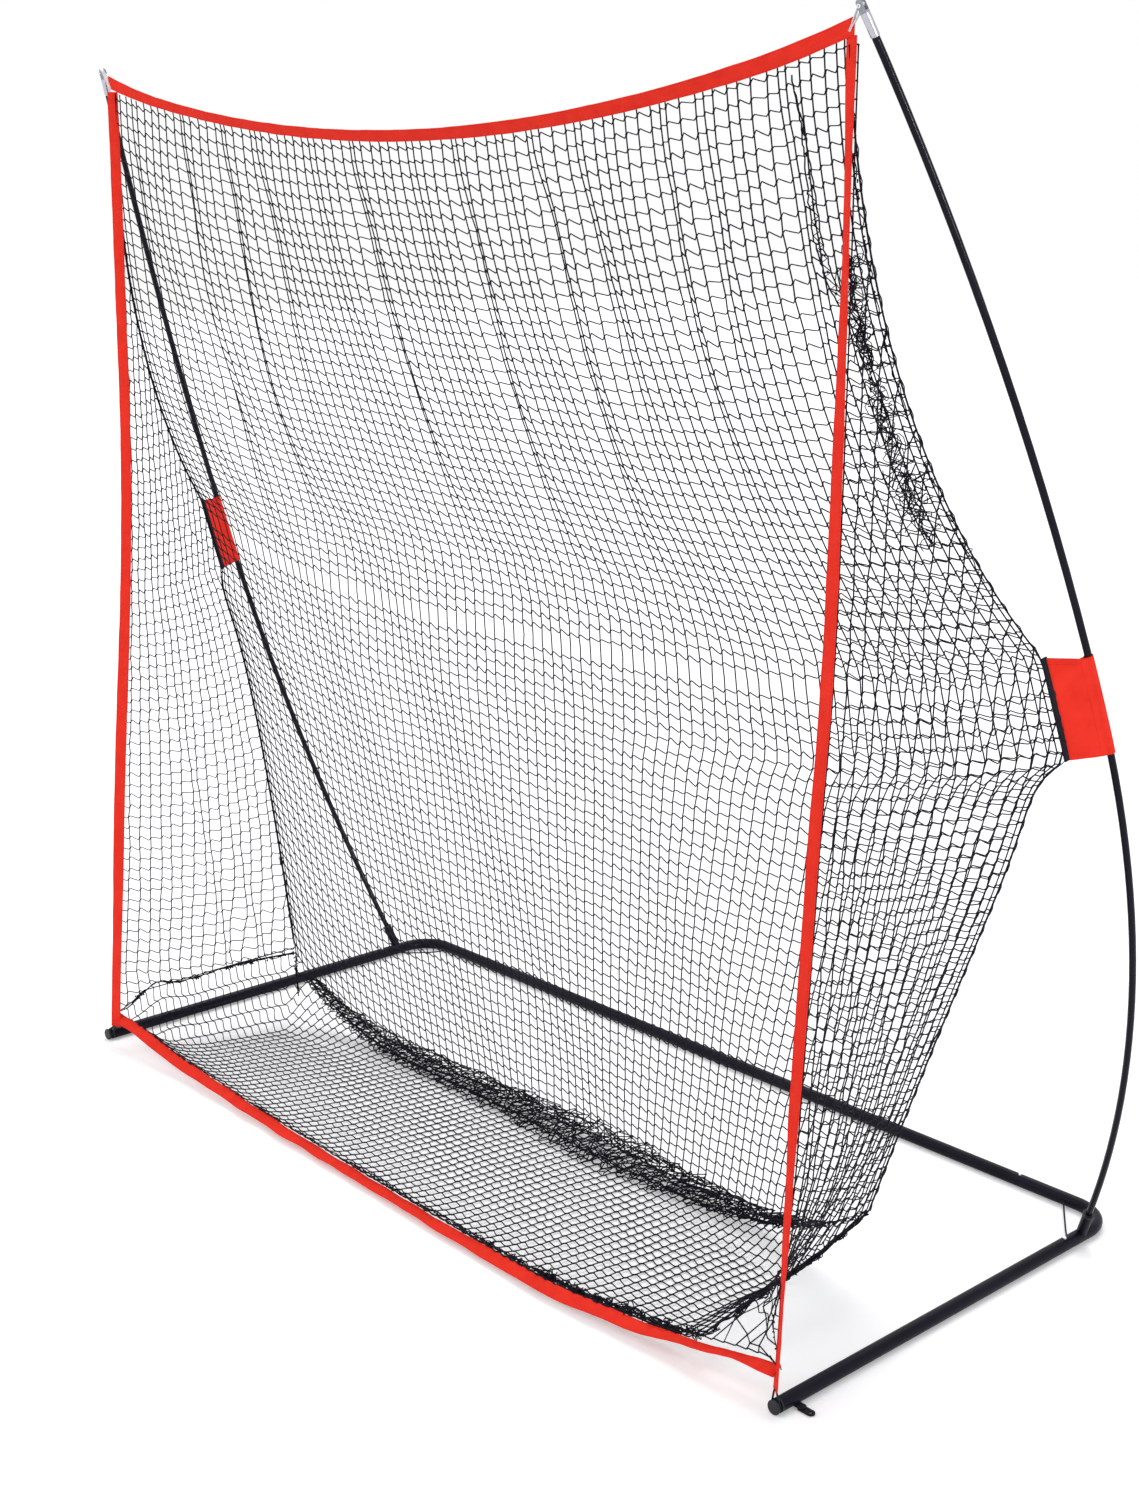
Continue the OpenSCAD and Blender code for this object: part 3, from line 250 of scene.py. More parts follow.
# ---- Materials ----
class Look:
    """A principled material whose colour, roughness and bump come from nodes."""

    def __init__(self, name, roughness=0.5, metallic=0.0, **sockets):
        self.material = bpy.data.materials.new(name)
        self.material.use_nodes = True
        self.tree = self.material.node_tree
        self.shader = self.tree.nodes["Principled BSDF"]
        self.set(Roughness=roughness, Metallic=metallic, **sockets)
        self.place = self.add("ShaderNodeTexCoord").outputs["Object"]

    def add(self, kind, **settings):
        node = self.tree.nodes.new(kind)
        for key, value in settings.items():
            setattr(node, key, value)
        return node

    def link(self, a, b):
        self.tree.links.new(a, b)

    def set(self, **sockets):
        for key, value in sockets.items():
            self.shader.inputs[key.replace("_", " ")].default_value = value
        return self

    def stretched(self, scale, place=None):
        node = self.add("ShaderNodeMapping")
        node.inputs["Scale"].default_value = scale
        self.link(place or self.place, node.inputs["Vector"])
        return node.outputs["Vector"]

    def noise(self, scale, detail=3.0, rough=0.55, place=None):
        node = self.add("ShaderNodeTexNoise")
        node.inputs["Scale"].default_value = scale
        node.inputs["Detail"].default_value = detail
        node.inputs["Roughness"].default_value = rough
        self.link(place or self.place, node.inputs["Vector"])
        return node.outputs["Fac"]

    def ramp(self, value, low, high, out_low=0.0, out_high=1.0):
        node = self.add("ShaderNodeMapRange")
        for key, number in (("From Min", low), ("From Max", high),
                            ("To Min", out_low), ("To Max", out_high)):
            node.inputs[key].default_value = number
        self.link(value, node.inputs["Value"])
        return node.outputs["Result"]

    def math(self, kind, a, b=None):
        node = self.add("ShaderNodeMath", operation=kind)
        for k, value in enumerate((a, b)):
            if isinstance(value, (int, float)):
                node.inputs[k].default_value = value
            elif value is not None:
                self.link(value, node.inputs[k])
        return node.outputs[0]

    def colour(self, factor, first, second):
        node = self.add("ShaderNodeMix", data_type="RGBA")
        self.link(factor, node.inputs["Factor"])
        for socket, value in (("A", first), ("B", second)):
            target = [s for s in node.inputs if s.name == socket and s.type == "RGBA"][0]
            if isinstance(value, tuple):
                target.default_value = (*value, 1)
            else:
                self.link(value, target)
        return [s for s in node.outputs if s.type == "RGBA"][0]

    def base(self, colour):
        self.link(colour, self.shader.inputs["Base Color"])
        return self

    def rough(self, value):
        self.link(value, self.shader.inputs["Roughness"])
        return self

    def bump(self, height, strength, distance):
        node = self.add("ShaderNodeBump")
        node.inputs["Strength"].default_value = strength
        node.inputs["Distance"].default_value = distance
        self.link(height, node.inputs["Height"])
        self.link(node.outputs["Normal"], self.shader.inputs["Normal"])
        return self

    def weave(self, across, along, map_name="Cloth"):
        """Height of a plain weave whose threads are that wide, in metres, on a metre map."""
        uv = self.add("ShaderNodeUVMap", uv_map=map_name).outputs["UV"]
        parts = self.add("ShaderNodeSeparateXYZ")
        self.link(uv, parts.inputs[0])
        a = self.math("MULTIPLY", parts.outputs[0], math.pi / across)
        b = self.math("MULTIPLY", parts.outputs[1], math.pi / along)
        return self.math("MULTIPLY", self.math("SINE", a), self.math("SINE", b))


def paint(name, dark, light, roughness, peel=900, scuffs=0.62, shine=0.09):
    look = Look(name, roughness, Specular_IOR_Level=shine)
    dust = look.ramp(look.noise(7, 5), 0.35, 0.75)
    wear = look.ramp(look.noise(160, 6, 0.7), scuffs, scuffs + 0.16)
    worn = look.colour(wear, look.colour(dust, dark, light), tuple(2.4 * c for c in light))
    look.base(worn)
    look.rough(look.ramp(look.noise(60, 4), 0.3, 0.7, roughness - 0.07, roughness + 0.10))
    return look.bump(look.noise(peel, 2), 0.18, 0.0004).material


def metal(name, colour, roughness, stretch=(400, 400, 30)):
    look = Look(name, roughness, 1.0)
    brushed = look.noise(1.0, 4, 0.6, look.stretched(stretch))
    look.base(look.colour(look.ramp(brushed, 0.3, 0.7), tuple(0.86 * c for c in colour), colour))
    look.rough(look.ramp(brushed, 0.3, 0.7, roughness - 0.06, roughness + 0.10))
    return look.bump(brushed, 0.12, 0.0002).material


def plastic(name, dark, light, roughness, grain=1400):
    look = Look(name, roughness, Specular_IOR_Level=0.25)
    look.base(look.colour(look.ramp(look.noise(30, 4), 0.35, 0.7), dark, light))
    look.rough(look.ramp(look.noise(220, 3), 0.3, 0.7, roughness - 0.06, roughness + 0.08))
    return look.bump(look.noise(grain, 2), 0.22, 0.0003).material


def cloth(name, dark, light, across=0.0009, along=0.0009, strength=0.4):
    look = Look(name, 0.72, Specular_IOR_Level=0.08)
    threads = look.weave(across, along)
    fuzz = look.noise(1500, 3, 0.7)
    tone = look.math("ADD", look.math("MULTIPLY", look.ramp(threads, -1, 1), 0.45),
                     look.math("MULTIPLY", look.ramp(look.noise(34, 4), 0.3, 0.7), 0.55))
    look.base(look.colour(tone, dark, light))
    look.rough(look.ramp(fuzz, 0.3, 0.7, 0.62, 0.85))
    height = look.math("ADD", threads, look.math("MULTIPLY", fuzz, 0.5))
    return look.bump(height, strength, 0.0005).material


def twine(name, dark, light):
    look = Look(name, 0.6, Specular_IOR_Level=0.10)
    look.base(look.colour(look.ramp(look.noise(260, 3), 0.3, 0.7), dark, light))
    look.rough(look.ramp(look.noise(700, 2), 0.3, 0.7, 0.45, 0.72))
    return look.bump(look.noise(2400, 2), 0.5, 0.0004).material


TUBE_PAINT = paint("tube_paint", (0.0045, 0.0035, 0.009), (0.009, 0.0075, 0.016), 0.34)
BRACKET_PAINT = paint("bracket_paint", (0.006, 0.005, 0.010), (0.014, 0.012, 0.020), 0.38, 700, 0.58)
POLE_PAINT = paint("pole_paint", (0.004, 0.0035, 0.009), (0.008, 0.007, 0.015), 0.14, 1200, 0.70, 0.12)
BLACK_PLASTIC = plastic("black_plastic", (0.010, 0.010, 0.014), (0.020, 0.020, 0.027), 0.42)
BUTTON_STEEL = metal("button_steel", (0.88, 0.88, 0.90), 0.34, (500, 500, 500))
SPRING_STEEL = metal("spring_steel", (0.55, 0.55, 0.58), 0.30)
PIN_STEEL = metal("pin_steel", (0.66, 0.66, 0.69), 0.26)
TIP_ALUMINIUM = metal("tip_aluminium", (0.50, 0.50, 0.56), 0.24, (900, 900, 25))
TIP_PLASTIC = plastic("tip_plastic", (0.26, 0.26, 0.30), (0.38, 0.38, 0.43), 0.34)
WHITE_WEBBING = cloth("white_webbing", (0.70, 0.70, 0.71), (0.88, 0.88, 0.88), 0.0007, 0.0011)
RED_FABRIC = cloth("red_fabric", (0.80, 0.026, 0.014), (0.96, 0.044, 0.025), 0.0006, 0.0006)
RED_THREAD = cloth("red_thread", (0.60, 0.016, 0.010), (0.86, 0.034, 0.022), 0.0003, 0.0003)
BLACK_BINDING = cloth("black_binding", (0.008, 0.008, 0.012), (0.026, 0.025, 0.032), 0.0007, 0.0010)
BLACK_CORD = twine("black_cord", (0.006, 0.006, 0.009), (0.020, 0.020, 0.026))
NET_TWINE = twine("net_twine", (0.004, 0.003, 0.008), (0.012, 0.011, 0.020))

SLOT_LOOKS = {
    "tube_paint": TUBE_PAINT, "bracket_paint": BRACKET_PAINT, "pole_paint": POLE_PAINT,
    "black_plastic": BLACK_PLASTIC, "button_steel": BUTTON_STEEL, "spring_steel": SPRING_STEEL,
    "pin_steel": PIN_STEEL, "tip_aluminium": TIP_ALUMINIUM, "tip_plastic": TIP_PLASTIC,
    "white_webbing": WHITE_WEBBING, "red_fabric": RED_FABRIC, "black_binding": BLACK_BINDING,
    "black_cord": BLACK_CORD, "net_twine": NET_TWINE,
}
for subpart in frame["record"]["subparts"]:
    mesh = frame["nodes"][subpart["node"]].data
    mesh.materials.clear()
    mesh.materials.append(SLOT_LOOKS[subpart["material_slot"]])


# ---- Meshes ----
def make_piece(name, points, quads, tris=(), material=None, smooth_faces=True,
               uv=None, uv_name="Cloth"):
    """A mesh object from arrays; uv has one pair for each point."""
    mesh = bpy.data.meshes.new(name)
    quads = np.asarray(quads, np.int32).reshape(-1, 4)
    tris = np.asarray(tris, np.int32).reshape(-1, 3)
    loops = np.concatenate([quads.ravel(), tris.ravel()])
    starts = np.concatenate([4 * np.arange(len(quads)),
                             4 * len(quads) + 3 * np.arange(len(tris))])
    mesh.vertices.add(len(points))
    mesh.vertices.foreach_set("co", np.asarray(points, np.float32).ravel())
    mesh.loops.add(len(loops))
    mesh.loops.foreach_set("vertex_index", loops)
    mesh.polygons.add(len(starts))
    mesh.polygons.foreach_set("loop_start", starts.astype(np.int32))
    mesh.update(calc_edges=True)
    mesh.validate()
    mesh.polygons.foreach_set("use_smooth", np.full(len(mesh.polygons), smooth_faces))
    if uv is not None:
        layer = mesh.uv_layers.new(name=uv_name)
        index = np.zeros(len(mesh.loops), np.int32)
        mesh.loops.foreach_get("vertex_index", index)
        layer.data.foreach_set("uv", np.asarray(uv, np.float32)[index].ravel())
    mesh.materials.append(material)
    obj = bpy.data.objects.new(name, mesh)
    bpy.context.scene.collection.objects.link(obj)
    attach(obj, ROOT)
    return obj


def skin(here, there):
    """Quads between closed rings of points and the next rings."""
    return np.stack([here, there, np.roll(there, -1, 1), np.roll(here, -1, 1)], -1).reshape(-1, 4)


class Bundle:
    """Tubes and knots that end up in one mesh."""

    def __init__(self):
        self.points, self.quads, self.tris, self.count = [], [], [], 0

    def _take(self, points, quads=(), tris=()):
        self.points.append(points)
        if len(quads):
            self.quads.append(np.asarray(quads) + self.count)
        if len(tris):
            self.tris.append(np.asarray(tris) + self.count)
        self.count += len(points)

    def tubes(self, paths, radius, sides=4):
        """paths has the shape (tubes, points, 3); radius is one number or one for each point."""
        paths = np.asarray(paths, float)
        many, n = paths.shape[:2]
        along = unit(np.gradient(paths, axis=1))
        mean = np.abs(along.mean(axis=1, keepdims=True))
        reference = np.eye(3)[np.argmin(mean, axis=-1)]
        a = unit(np.cross(along, np.broadcast_to(reference, along.shape)))
        b = np.cross(along, a)
        turn = 2 * math.pi * (np.arange(sides) + 0.5) / sides
        r = np.broadcast_to(np.asarray(radius, float), (many, n))[..., None, None]
        ring = (paths[:, :, None] + r * (np.cos(turn)[:, None] * a[:, :, None]
                                         + np.sin(turn)[:, None] * b[:, :, None]))
        index = np.arange(many * n * sides).reshape(many, n, sides)
        here, there = index[:, :-1], index[:, 1:]
        quads = np.stack([here, np.roll(here, -1, 2), np.roll(there, -1, 2), there], -1)
        caps = []
        if sides == 4:
            quads = np.concatenate([quads.reshape(-1, 4), index[:, 0, ::-1], index[:, -1]])
        else:
            for ring_ids, order in ((index[:, 0], -1), (index[:, -1], 1)):
                for k in range(1, sides - 1):
                    tri = np.stack([ring_ids[:, 0], ring_ids[:, k], ring_ids[:, k + 1]], -1)
                    caps.append(tri[:, ::order])
        self._take(ring.reshape(-1, 3), quads.reshape(-1, 4), np.concatenate(caps) if caps else ())

    def tube(self, path, radius, sides=4):
        self.tubes(np.asarray(path, float)[None], radius, sides)

    def knots(self, centres, radius, seed=0):
        centres = np.asarray(centres, float).reshape(-1, 3)
        r = np.random.default_rng(seed)
        turn = r.uniform(0, 6.28, len(centres))
        size = radius * r.uniform(0.85, 1.15, len(centres))[:, None]
        a = np.stack([np.cos(turn), np.sin(turn), 0 * turn], -1) * size
        b = np.stack([-np.sin(turn), np.cos(turn), 0 * turn], -1) * size
        c = vec(0, 0, 1) * size
        points = np.stack([centres + a, centres + b, centres - a, centres - b,
                           centres + c, centres - c], 1).reshape(-1, 3)
        ring = np.array([[0, 1, 4], [1, 2, 4], [2, 3, 4], [3, 0, 4],
                         [1, 0, 5], [2, 1, 5], [3, 2, 5], [0, 3, 5]])
        tris = (ring[None] + 6 * np.arange(len(centres))[:, None, None]).reshape(-1, 3)
        self._take(points, (), tris)

    def finish(self, name, material):
        points = np.concatenate(self.points)
        low, high = points.min(0), points.max(0)
        spread = (points - low) / np.maximum(high - low, 1e-6)
        flat = np.argsort(high - low)[1:]
        return make_piece(name, points, np.concatenate(self.quads) if self.quads else (),
                          np.concatenate(self.tris) if self.tris else (), material,
                          uv=spread[:, sorted(flat)], uv_name="OFBake")


def tangle(bundle, path, side, seed, spread, strands, loops, thick=1.15):
    """Slack twine gathered along a path: wavy strands with loops and knots between them."""
    rng = np.random.default_rng(seed)
    run = length_of(np.asarray(path, float))
    n = max(int(run / 0.006), 8)
    path = spaced(path, n)
    s = np.linspace(0, run, n)
    grow = np.clip(np.minimum(s, run - s) / 0.03, 0.15, 1)[:, None]
    for k in range(strands):
        away = np.stack([waves(38 * s, seed + 7 * k + i, 6, 0.5, 5) for i in range(3)], -1)
        bundle.tube(sided(path + spread * grow * away, side), thick * MM)
    for k in range(loops):
        centre = path[rng.integers(1, n - 1)] + spread * rng.uniform(-0.7, 0.7, 3)
        turn = np.linspace(0, rng.uniform(3.5, 6.6), 11) + rng.uniform(0, 6.28)
        a, b = unit(rng.normal(0, 1, (2, 3)))
        r = spread * rng.uniform(0.35, 0.95)
        loop = centre + r * (np.cos(turn)[:, None] * a + np.sin(turn)[:, None] * b)
        bundle.tube(sided(loop, side), 0.96 * thick * MM)
    bundle.knots(sided(path[rng.integers(1, n - 1, loops)], side), 2.3 * thick * MM, seed)


# ---- Netting ----
TWINE_R, KNOT_R = 1.2 * MM, 2.2 * MM
S_STEP = ((0.15, -0.14), (0.5, 0.01), (0.85, 0.14))  # place and drop in a cell, as shares


def rows_of(grid, rng, slack=1.0):
    """Cross strands of a grid of knots: each steps down a little between its knots."""
    a, b = grid[:, :-1], grid[:, 1:]
    down = np.empty_like(grid)
    down[1:] = grid[:-1] - grid[1:]
    down[0] = down[1]
    down = unit(0.5 * (down[:, :-1] + down[:, 1:]))
    size = np.linalg.norm(b - a, axis=-1, keepdims=True)
    amount = slack * rng.uniform(0.5, 1.4, size.shape) * size
    steps = [a]
    for share, drop in S_STEP:
        steps.append(mix(a, b, share) + drop * amount * down)
    path = np.stack(steps, 2).reshape(len(grid), -1, 3)
    return np.concatenate([path, grid[:, -1:]], 1)


def weave_grid(bundle, grid, seed, slack):
    rng = np.random.default_rng(seed)
    bundle.tubes(grid.transpose(1, 0, 2), TWINE_R)
    bundle.tubes(rows_of(grid, rng, slack), TWINE_R)
    bundle.knots(grid, KNOT_R, seed)


# folds of the back: place, depth, height at which they fade
BACK_FOLDS = ((-0.923, 0.6, 1.35), (-0.750, 1.0, 1.05), (-0.609, 0.9, 1.10), (-0.490, 0.7, 1.30),
              (-0.305, 0.5, 1.50), (-0.176, 1.0, 1.15), (-0.015, 0.5, 1.45), (0.110, 1.0, 1.10),
              (0.230, 0.5, 1.50), (0.319, 1.0, 1.15), (0.428, 0.8, 1.30), (0.487, 0.4, 1.60),
              (0.611, 0.9, 1.20), (0.697, 0.8, 1.40), (0.759, 0.4, 1.60), (0.859, 0.9, 1.30),
              (0.910, 0.5, 1.55))


def back_grid(rows=86, cols=85):
    """Knots of the back, row 0 at its foot. The top is gathered in standing folds."""
    rng = np.random.default_rng(11)
    seam = spaced(side_seam(), rows)
    middle = spaced([(0, BACK_FOOT_Y, 0.0013), (0, -0.030, 0.60), (0, CAP_Y + 0.430, 1.034),
                     (0, -0.052, 1.12), (0, -0.070, 1.20)]
                    + [(0, mix(CAP_Y + 0.430, TOP_CORNER[1] + NET_BEHIND, t) - 0.130 * t * (1 - t),
                        mix(SLEEVE_TOP, TOP_CORNER[2] - TOP_SAG - NET_BELOW, t))
                       for t in np.linspace(0.15, 1, 20)], rows)
    widths = np.ones(cols - 1)
    widths[:3] = widths[-3:][::-1] = (0.35, 0.6, 0.85)
    u = np.concatenate([[0], np.cumsum(widths)])
    u = 2 * u / u[-1] - 1
    rise = np.arange(rows)[:, None] / (rows - 1)
    power = 2 + 3 * (1 - rise)
    x = u[None] * (seam[:, None, 0] - 0.0016)
    y = mix(middle[:, None, 1], seam[:, None, 1], u[None] ** 2)
    z = mix(middle[:, None, 2], seam[:, None, 2], np.abs(u[None]) ** power)
    for at, depth, end in BACK_FOLDS:
        strength = depth * smooth((z - end) / 0.45)
        near = x - at * seam[:, None, 0] / seam[-1, 0] - 0.008 * np.sin(7 * z + 9 * at)
        x = x - strength * 0.66 * near * np.exp(-(near / 0.034) ** 2)
        y = y + strength * 0.017 * np.exp(-(near / 0.026) ** 2) * smooth((1 - rise) * 12)
    soft = np.clip((1 - np.abs(u[None])) * 10, 0, 1) * smooth((1 - rise) * 14)
    x = x + soft * 0.003 * waves(z + 3 * x, 21) + soft * rng.normal(0, 0.0007, x.shape)
    y = y + soft * 0.006 * waves(2.2 * x + 1.3 * z, 22, 6, 2, 12)
    z = z + soft * 0.004 * waves(1.6 * x - z, 23, 6, 2, 12) + soft * rng.normal(0, 0.0006, x.shape)
    z[0] = np.maximum(z[0], 0.0013)
    y = y + 0.0100 * (1 - u[None] ** 4) * np.exp((rise - 1) * rows / 4)
    return np.stack([x, y, z], -1)


def add_back():
    grid = back_grid()
    half = 44
    # the strands run on behind the top tape
    away = (1 - np.linspace(-1, 1, grid.shape[1]) ** 4)[:, None]
    up = np.concatenate([grid[half:], grid[-1:] + away * vec(0, -0.004, 0.006) + vec(0, 0, 0.011)])
    pieces = []
    for name, part, node, seed in (("netting_back_lower", grid[:half + 1], "net_back_lower", 1),
                                   ("netting_back_upper", up, "net_back_upper", 2)):
        bundle = Bundle()
        rng = np.random.default_rng(seed)
        bundle.tubes(part.transpose(1, 0, 2), TWINE_R)
        rows = part[:-1] if node == "net_back_lower" else part[1:-1]
        bundle.tubes(rows_of(rows, rng), TWINE_R)
        bundle.knots(rows, KNOT_R, seed)
        piece = bundle.finish(name, NET_TWINE)
        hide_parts(node)
        pieces.append((piece, len(part) - 1))
    return grid, pieces


back, back_pieces = add_back()


def side_rows(side, rows=84):
    """Knots of a side panel: level rows from the border back to the panel's outer edge."""
    rng = np.random.default_rng(31 + side)
    bottom = floor_seam(side, np.linspace(0.01, 0.98, 60)) + vec(0, 0, 0.0035)
    seam = spaced(side_seam(), 400) + vec(0.0004, -0.0016, 0)
    edge = np.concatenate([bottom, seam])
    edge_z = np.maximum.accumulate(edge[:, 2]) + 1e-7 * np.arange(len(edge))
    border = side_border(side, np.linspace(0.005, 1, 300)) + vec(-0.002, 0.0028, 0)
    if side > 0:
        border[:, 0] -= 0.012 * smooth((0.42 - border[:, 2]) / 0.2)
    levels = np.linspace(0.080 if side > 0 else 0.066, TOP_CORNER[2] - NET_BELOW, rows)
    # the lowest row lies along the bottom border
    foot = behind_border(np.linspace(1.000, bottom[0, 0], 30)) + vec(0, 0.003, 0.004)
    out = [spaced(foot, max(int(length_of(foot) / MESH) + 2, 3))]
    for j, level in enumerate(levels):
        a = np.array([np.interp(level, border[:, 2], border[:, k]) for k in range(3)])
        b = np.array([np.interp(level, edge_z, edge[:, k]) for k in range(3)])
        run = np.linalg.norm(b - a)
        d = np.arange(0, max(run - 0.010, 0.001), MESH)
        # the strands next to the border bunch together low down, others in the fold lines
        if side > 0:
            near = d - 0.040
            d = d - 0.55 * smooth((0.75 - level) / 0.5) * near * np.exp(-(near / 0.035) ** 2)
            d[0] = 0
        else:
            for at, lean, end in ((0.300, -0.19, 0.95), (0.385, -0.22, 0.60)):
                near = d - (at + lean * level)
                d = d - 0.62 * smooth((end - level) / 0.4) * near * np.exp(-(near / 0.030) ** 2)
        d = np.append(np.clip(d, 0, run), run)
        v = d / run
        line = mix(a, b, v[:, None])
        # low rows first run in to the bottom seam and then along it
        reach = 0.01 + 0.97 * v * np.interp(level, edge_z[:60], np.linspace(0, 1, 60))
        away = (1 - v[:, None]) ** (3.0 if side > 0 else 1.5)
        curve = floor_seam(side, reach)
        follow = curve + (a - curve[0]) * away + (b - curve[-1]) * (1 - away)
        low = smooth((0.40 - level) / 0.34)
        line[:, :2] = mix(line, follow, low)[:, :2]
        belly = 4 * v * (1 - v) * min(1, run / 0.3)
        line[:, 2] -= belly * (0.008 + 0.014 * smooth(1 - abs(level - 0.55) / 0.6))
        line[:, 0] += belly * (0.006 * waves(3 * level + 5 * v, 41 + side) - 0.010)
        loose = 0.0009 + 0.0030 * smooth((0.24 - level) / 0.1) * (side > 0)
        line[1:-1] += rng.normal(0, loose, (len(v) - 2, 3))
        out.append(line)
    return out


def add_side(side, name, node):
    rows = side_rows(side)
    rng = np.random.default_rng(51 + side)
    bundle = Bundle()
    widest = max(len(r) for r in rows)
    hem = floor_seam(side, np.linspace(0.01, 0.99, 60)) + vec(0, 0, 0.0035)
    for i in range(widest - 1):
        strand = []
        for j, row in enumerate(rows + [rows[-1][:1]]):
            if i < len(row) - 1:
                if j and not strand:
                    gap = np.linalg.norm(hem - row[i], axis=1)
                    strand.append(hem[gap.argmin()] if gap.min() < 0.05 else rows[j - 1][-1])
                strand.append(row[i])
            elif strand:
                if j < len(rows):
                    strand.append(row[-1])
                if len(strand) > 2:
                    bundle.tube(sided(strand, side), TWINE_R)
                strand = []
    bundle.tube(sided([row[-1] for row in rows], side), 1.1 * TWINE_R)
    for j, row in enumerate(rows):
        nearby = rows[j - 1] if j else rows[1]
        down = unit(nearby[0] - row[0]) * (1 if j else -1)
        path = [row[0]]
        for a, b in zip(row[:-1], row[1:]):
            size = np.linalg.norm(b - a) * rng.uniform(0.5, 1.4)
            if size > 0.006:
                path += [mix(a, b, s) + d * size * down for s, d in S_STEP]
            path.append(b)
        bundle.tube(sided(path, side), TWINE_R)
    bundle.knots(sided(np.concatenate(rows), side), KNOT_R, 61 + side)
    if side > 0:
        upper = side_seam()[74:104]
        inwards = np.linspace(0.070, 0.044, len(upper))[:, None] * vec(-1, 0, 0)
        tangle(bundle, upper + inwards, side, 401, 0.0230, 6, 60, 0.85)
        tangle(bundle, side_seam()[70:112] + vec(-0.008, 0, 0), side, 417, 0.0060, 1, 10, 0.9)
        fold = spaced([(0.888, -0.352, 2.045), (0.905, -0.344, 1.975), (0.911, -0.334, 1.910),
                       (0.921, -0.322, 1.817), (0.948, -0.317, 1.750), (0.985, -0.310, 1.700),
                       (1.004, -0.296, 1.640)], 64)
        place = np.arange(len(fold))
        zigzag = vec(0.0045, 0.0030, 0) * (place % 3 - 1)[:, None]
        for k, shift in enumerate((-0.004, 0.004)):
            away = 0.0030 * np.stack([waves(place / 3, 431 + k), 0.0 * place,
                                      waves(place / 3, 441 + k)], -1)
            bundle.tube(fold + vec(shift, shift, 0) * smooth(place / 30)[:, None] + away, TWINE_R)
        bundle.tube((fold + zigzag)[22:], MM)
        bundle.knots(fold[6::5], 2.9 * MM, 451)
        tangle(bundle, side_border(side, np.linspace(0.07, 0.23, 20)) + vec(-0.018, 0.006, 0),
               side, 461, 0.0030, 2, 5)
        tangle(bundle, [floor_seam(1, 0.42) + vec(0.004, 0, 0), (0.925, -0.360, 0.077),
                        (0.975, -0.408, 0.070), (1.026, -0.449, 0.066)], side, 481, 0.0030, 1, 4)
    else:
        tangle(bundle, side_seam()[70:110], side, 501, 0.0035, 2, 10)
        tangle(bundle, side_seam()[2:14], side, 521, 0.0050, 3, 16)
    # cord that laces side and back together along the seam
    seam = spaced(side_seam(), 240)
    turn = np.arange(len(seam)) * 1.3
    wrap = seam + 0.0020 * np.stack([np.cos(turn), np.sin(turn), 0.3 * np.sin(2 * turn)], -1)
    bundle.tube(sided(wrap, side), 0.7 * TWINE_R)
    piece = bundle.finish(name, NET_TWINE)
    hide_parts(node)


add_side(-1, "netting_side_left", "net_side_left")
add_side(1, "netting_side_right", "net_side_right")


def back_line(x):
    """Where the back's foot lies at x, as the solids have it."""
    u = np.abs(np.asarray(x, float)) / REAR_CORNER[0]
    return (mix(BACK_FOOT_Y, REAR_CORNER[1], u ** 2),
            mix(0.0013, REAR_CORNER[2] + 0.002, np.clip(u, 0, 1) ** 5))


def roll_size(x):
    """Width and height of the heap of netting in front of the back, at x."""
    t = (np.asarray(x, float) / REAR_CORNER[0] + 1) / 2
    return mix(0.026, 0.076, t), mix(0.016, 0.046, t)


def floor_grid(cols=78, rows=25):
    rng = np.random.default_rng(71)
    t = np.linspace(0.01, 0.98, rows)
    left, right = sided(floor_seam(-1, t), -1) + vec(0.004, 0, 0), floor_seam(1, t) - vec(0.004, 0, 0)
    w = np.linspace(0, 1, cols)[None]
    v = np.linspace(0, 1, rows)[:, None]
    x = mix(left[:, None, 0], right[:, None, 0], w)
    front = behind_border(x[0])
    foot_y, foot_z = back_line(x[-1])
    y = mix(front[None, :, 1], foot_y[None] - 0.006, v)
    # the outer strands follow the seams
    near_left = np.exp(-((x - left[:, None, 0]) / 0.05) ** 2)
    near_right = np.exp(-((right[:, None, 0] - x) / 0.05) ** 2)
    y = mix(y, left[:, None, 1], near_left)
    y = mix(y, right[:, None, 1], near_right)
    rise = np.maximum(left[:, None, 2] * np.clip(1 - (x - left[:, None, 0]) / 0.115, 0, 1) ** 1.25,
                      right[:, None, 2] * np.clip(1 - (right[:, None, 0] - x) / 0.105, 0, 1) ** 1.25)
    lip = (front[None, :, 2] - 0.0015) * np.exp(-(y - front[None, :, 1]) / 0.045)
    tail = foot_z[None] * smooth((v - 0.72) / 0.28)
    z = 0.0016 + np.maximum(np.maximum(rise, lip), tail)
    z = z + 0.002 * (1 + waves(2.6 * x + 4 * y, 72)) * smooth(v * 5) * 0.6
    x = x + 0.003 * waves(3 * y + 2 * x, 73) * np.clip(12 * w * (1 - w), 0, 1) \
        + rng.normal(0, 0.0008, x.shape)
    y = y + 0.003 * waves(2 * x - 2 * y, 74) * smooth(v * 6) + rng.normal(0, 0.0008, x.shape)
    return np.stack([x, y, z], -1)


def add_floor():
    grid = floor_grid()
    bundle = Bundle()
    weave_grid(bundle, grid, 75, 0.8)
    # slack strands gathered along the bottom border, more to the right
    for k in range(4):
        x = np.linspace(-0.80 + 0.34 * k, 0.80, 40)
        tangle(bundle, behind_border(x) + vec(0, 0.004 + 0.003 * k, -0.003), 1, 1300 + 40 * k,
               0.0030 + 0.0008 * k, 1, 10 + 8 * k)
    tangle(bundle, behind_border(np.linspace(0.46, 0.85, 30)) + vec(0, 0.014, -0.002), 1, 1550,
           0.0110, 3, 70)
    piece = bundle.finish("netting_floor", NET_TWINE)
    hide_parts("net_floor")


add_floor()


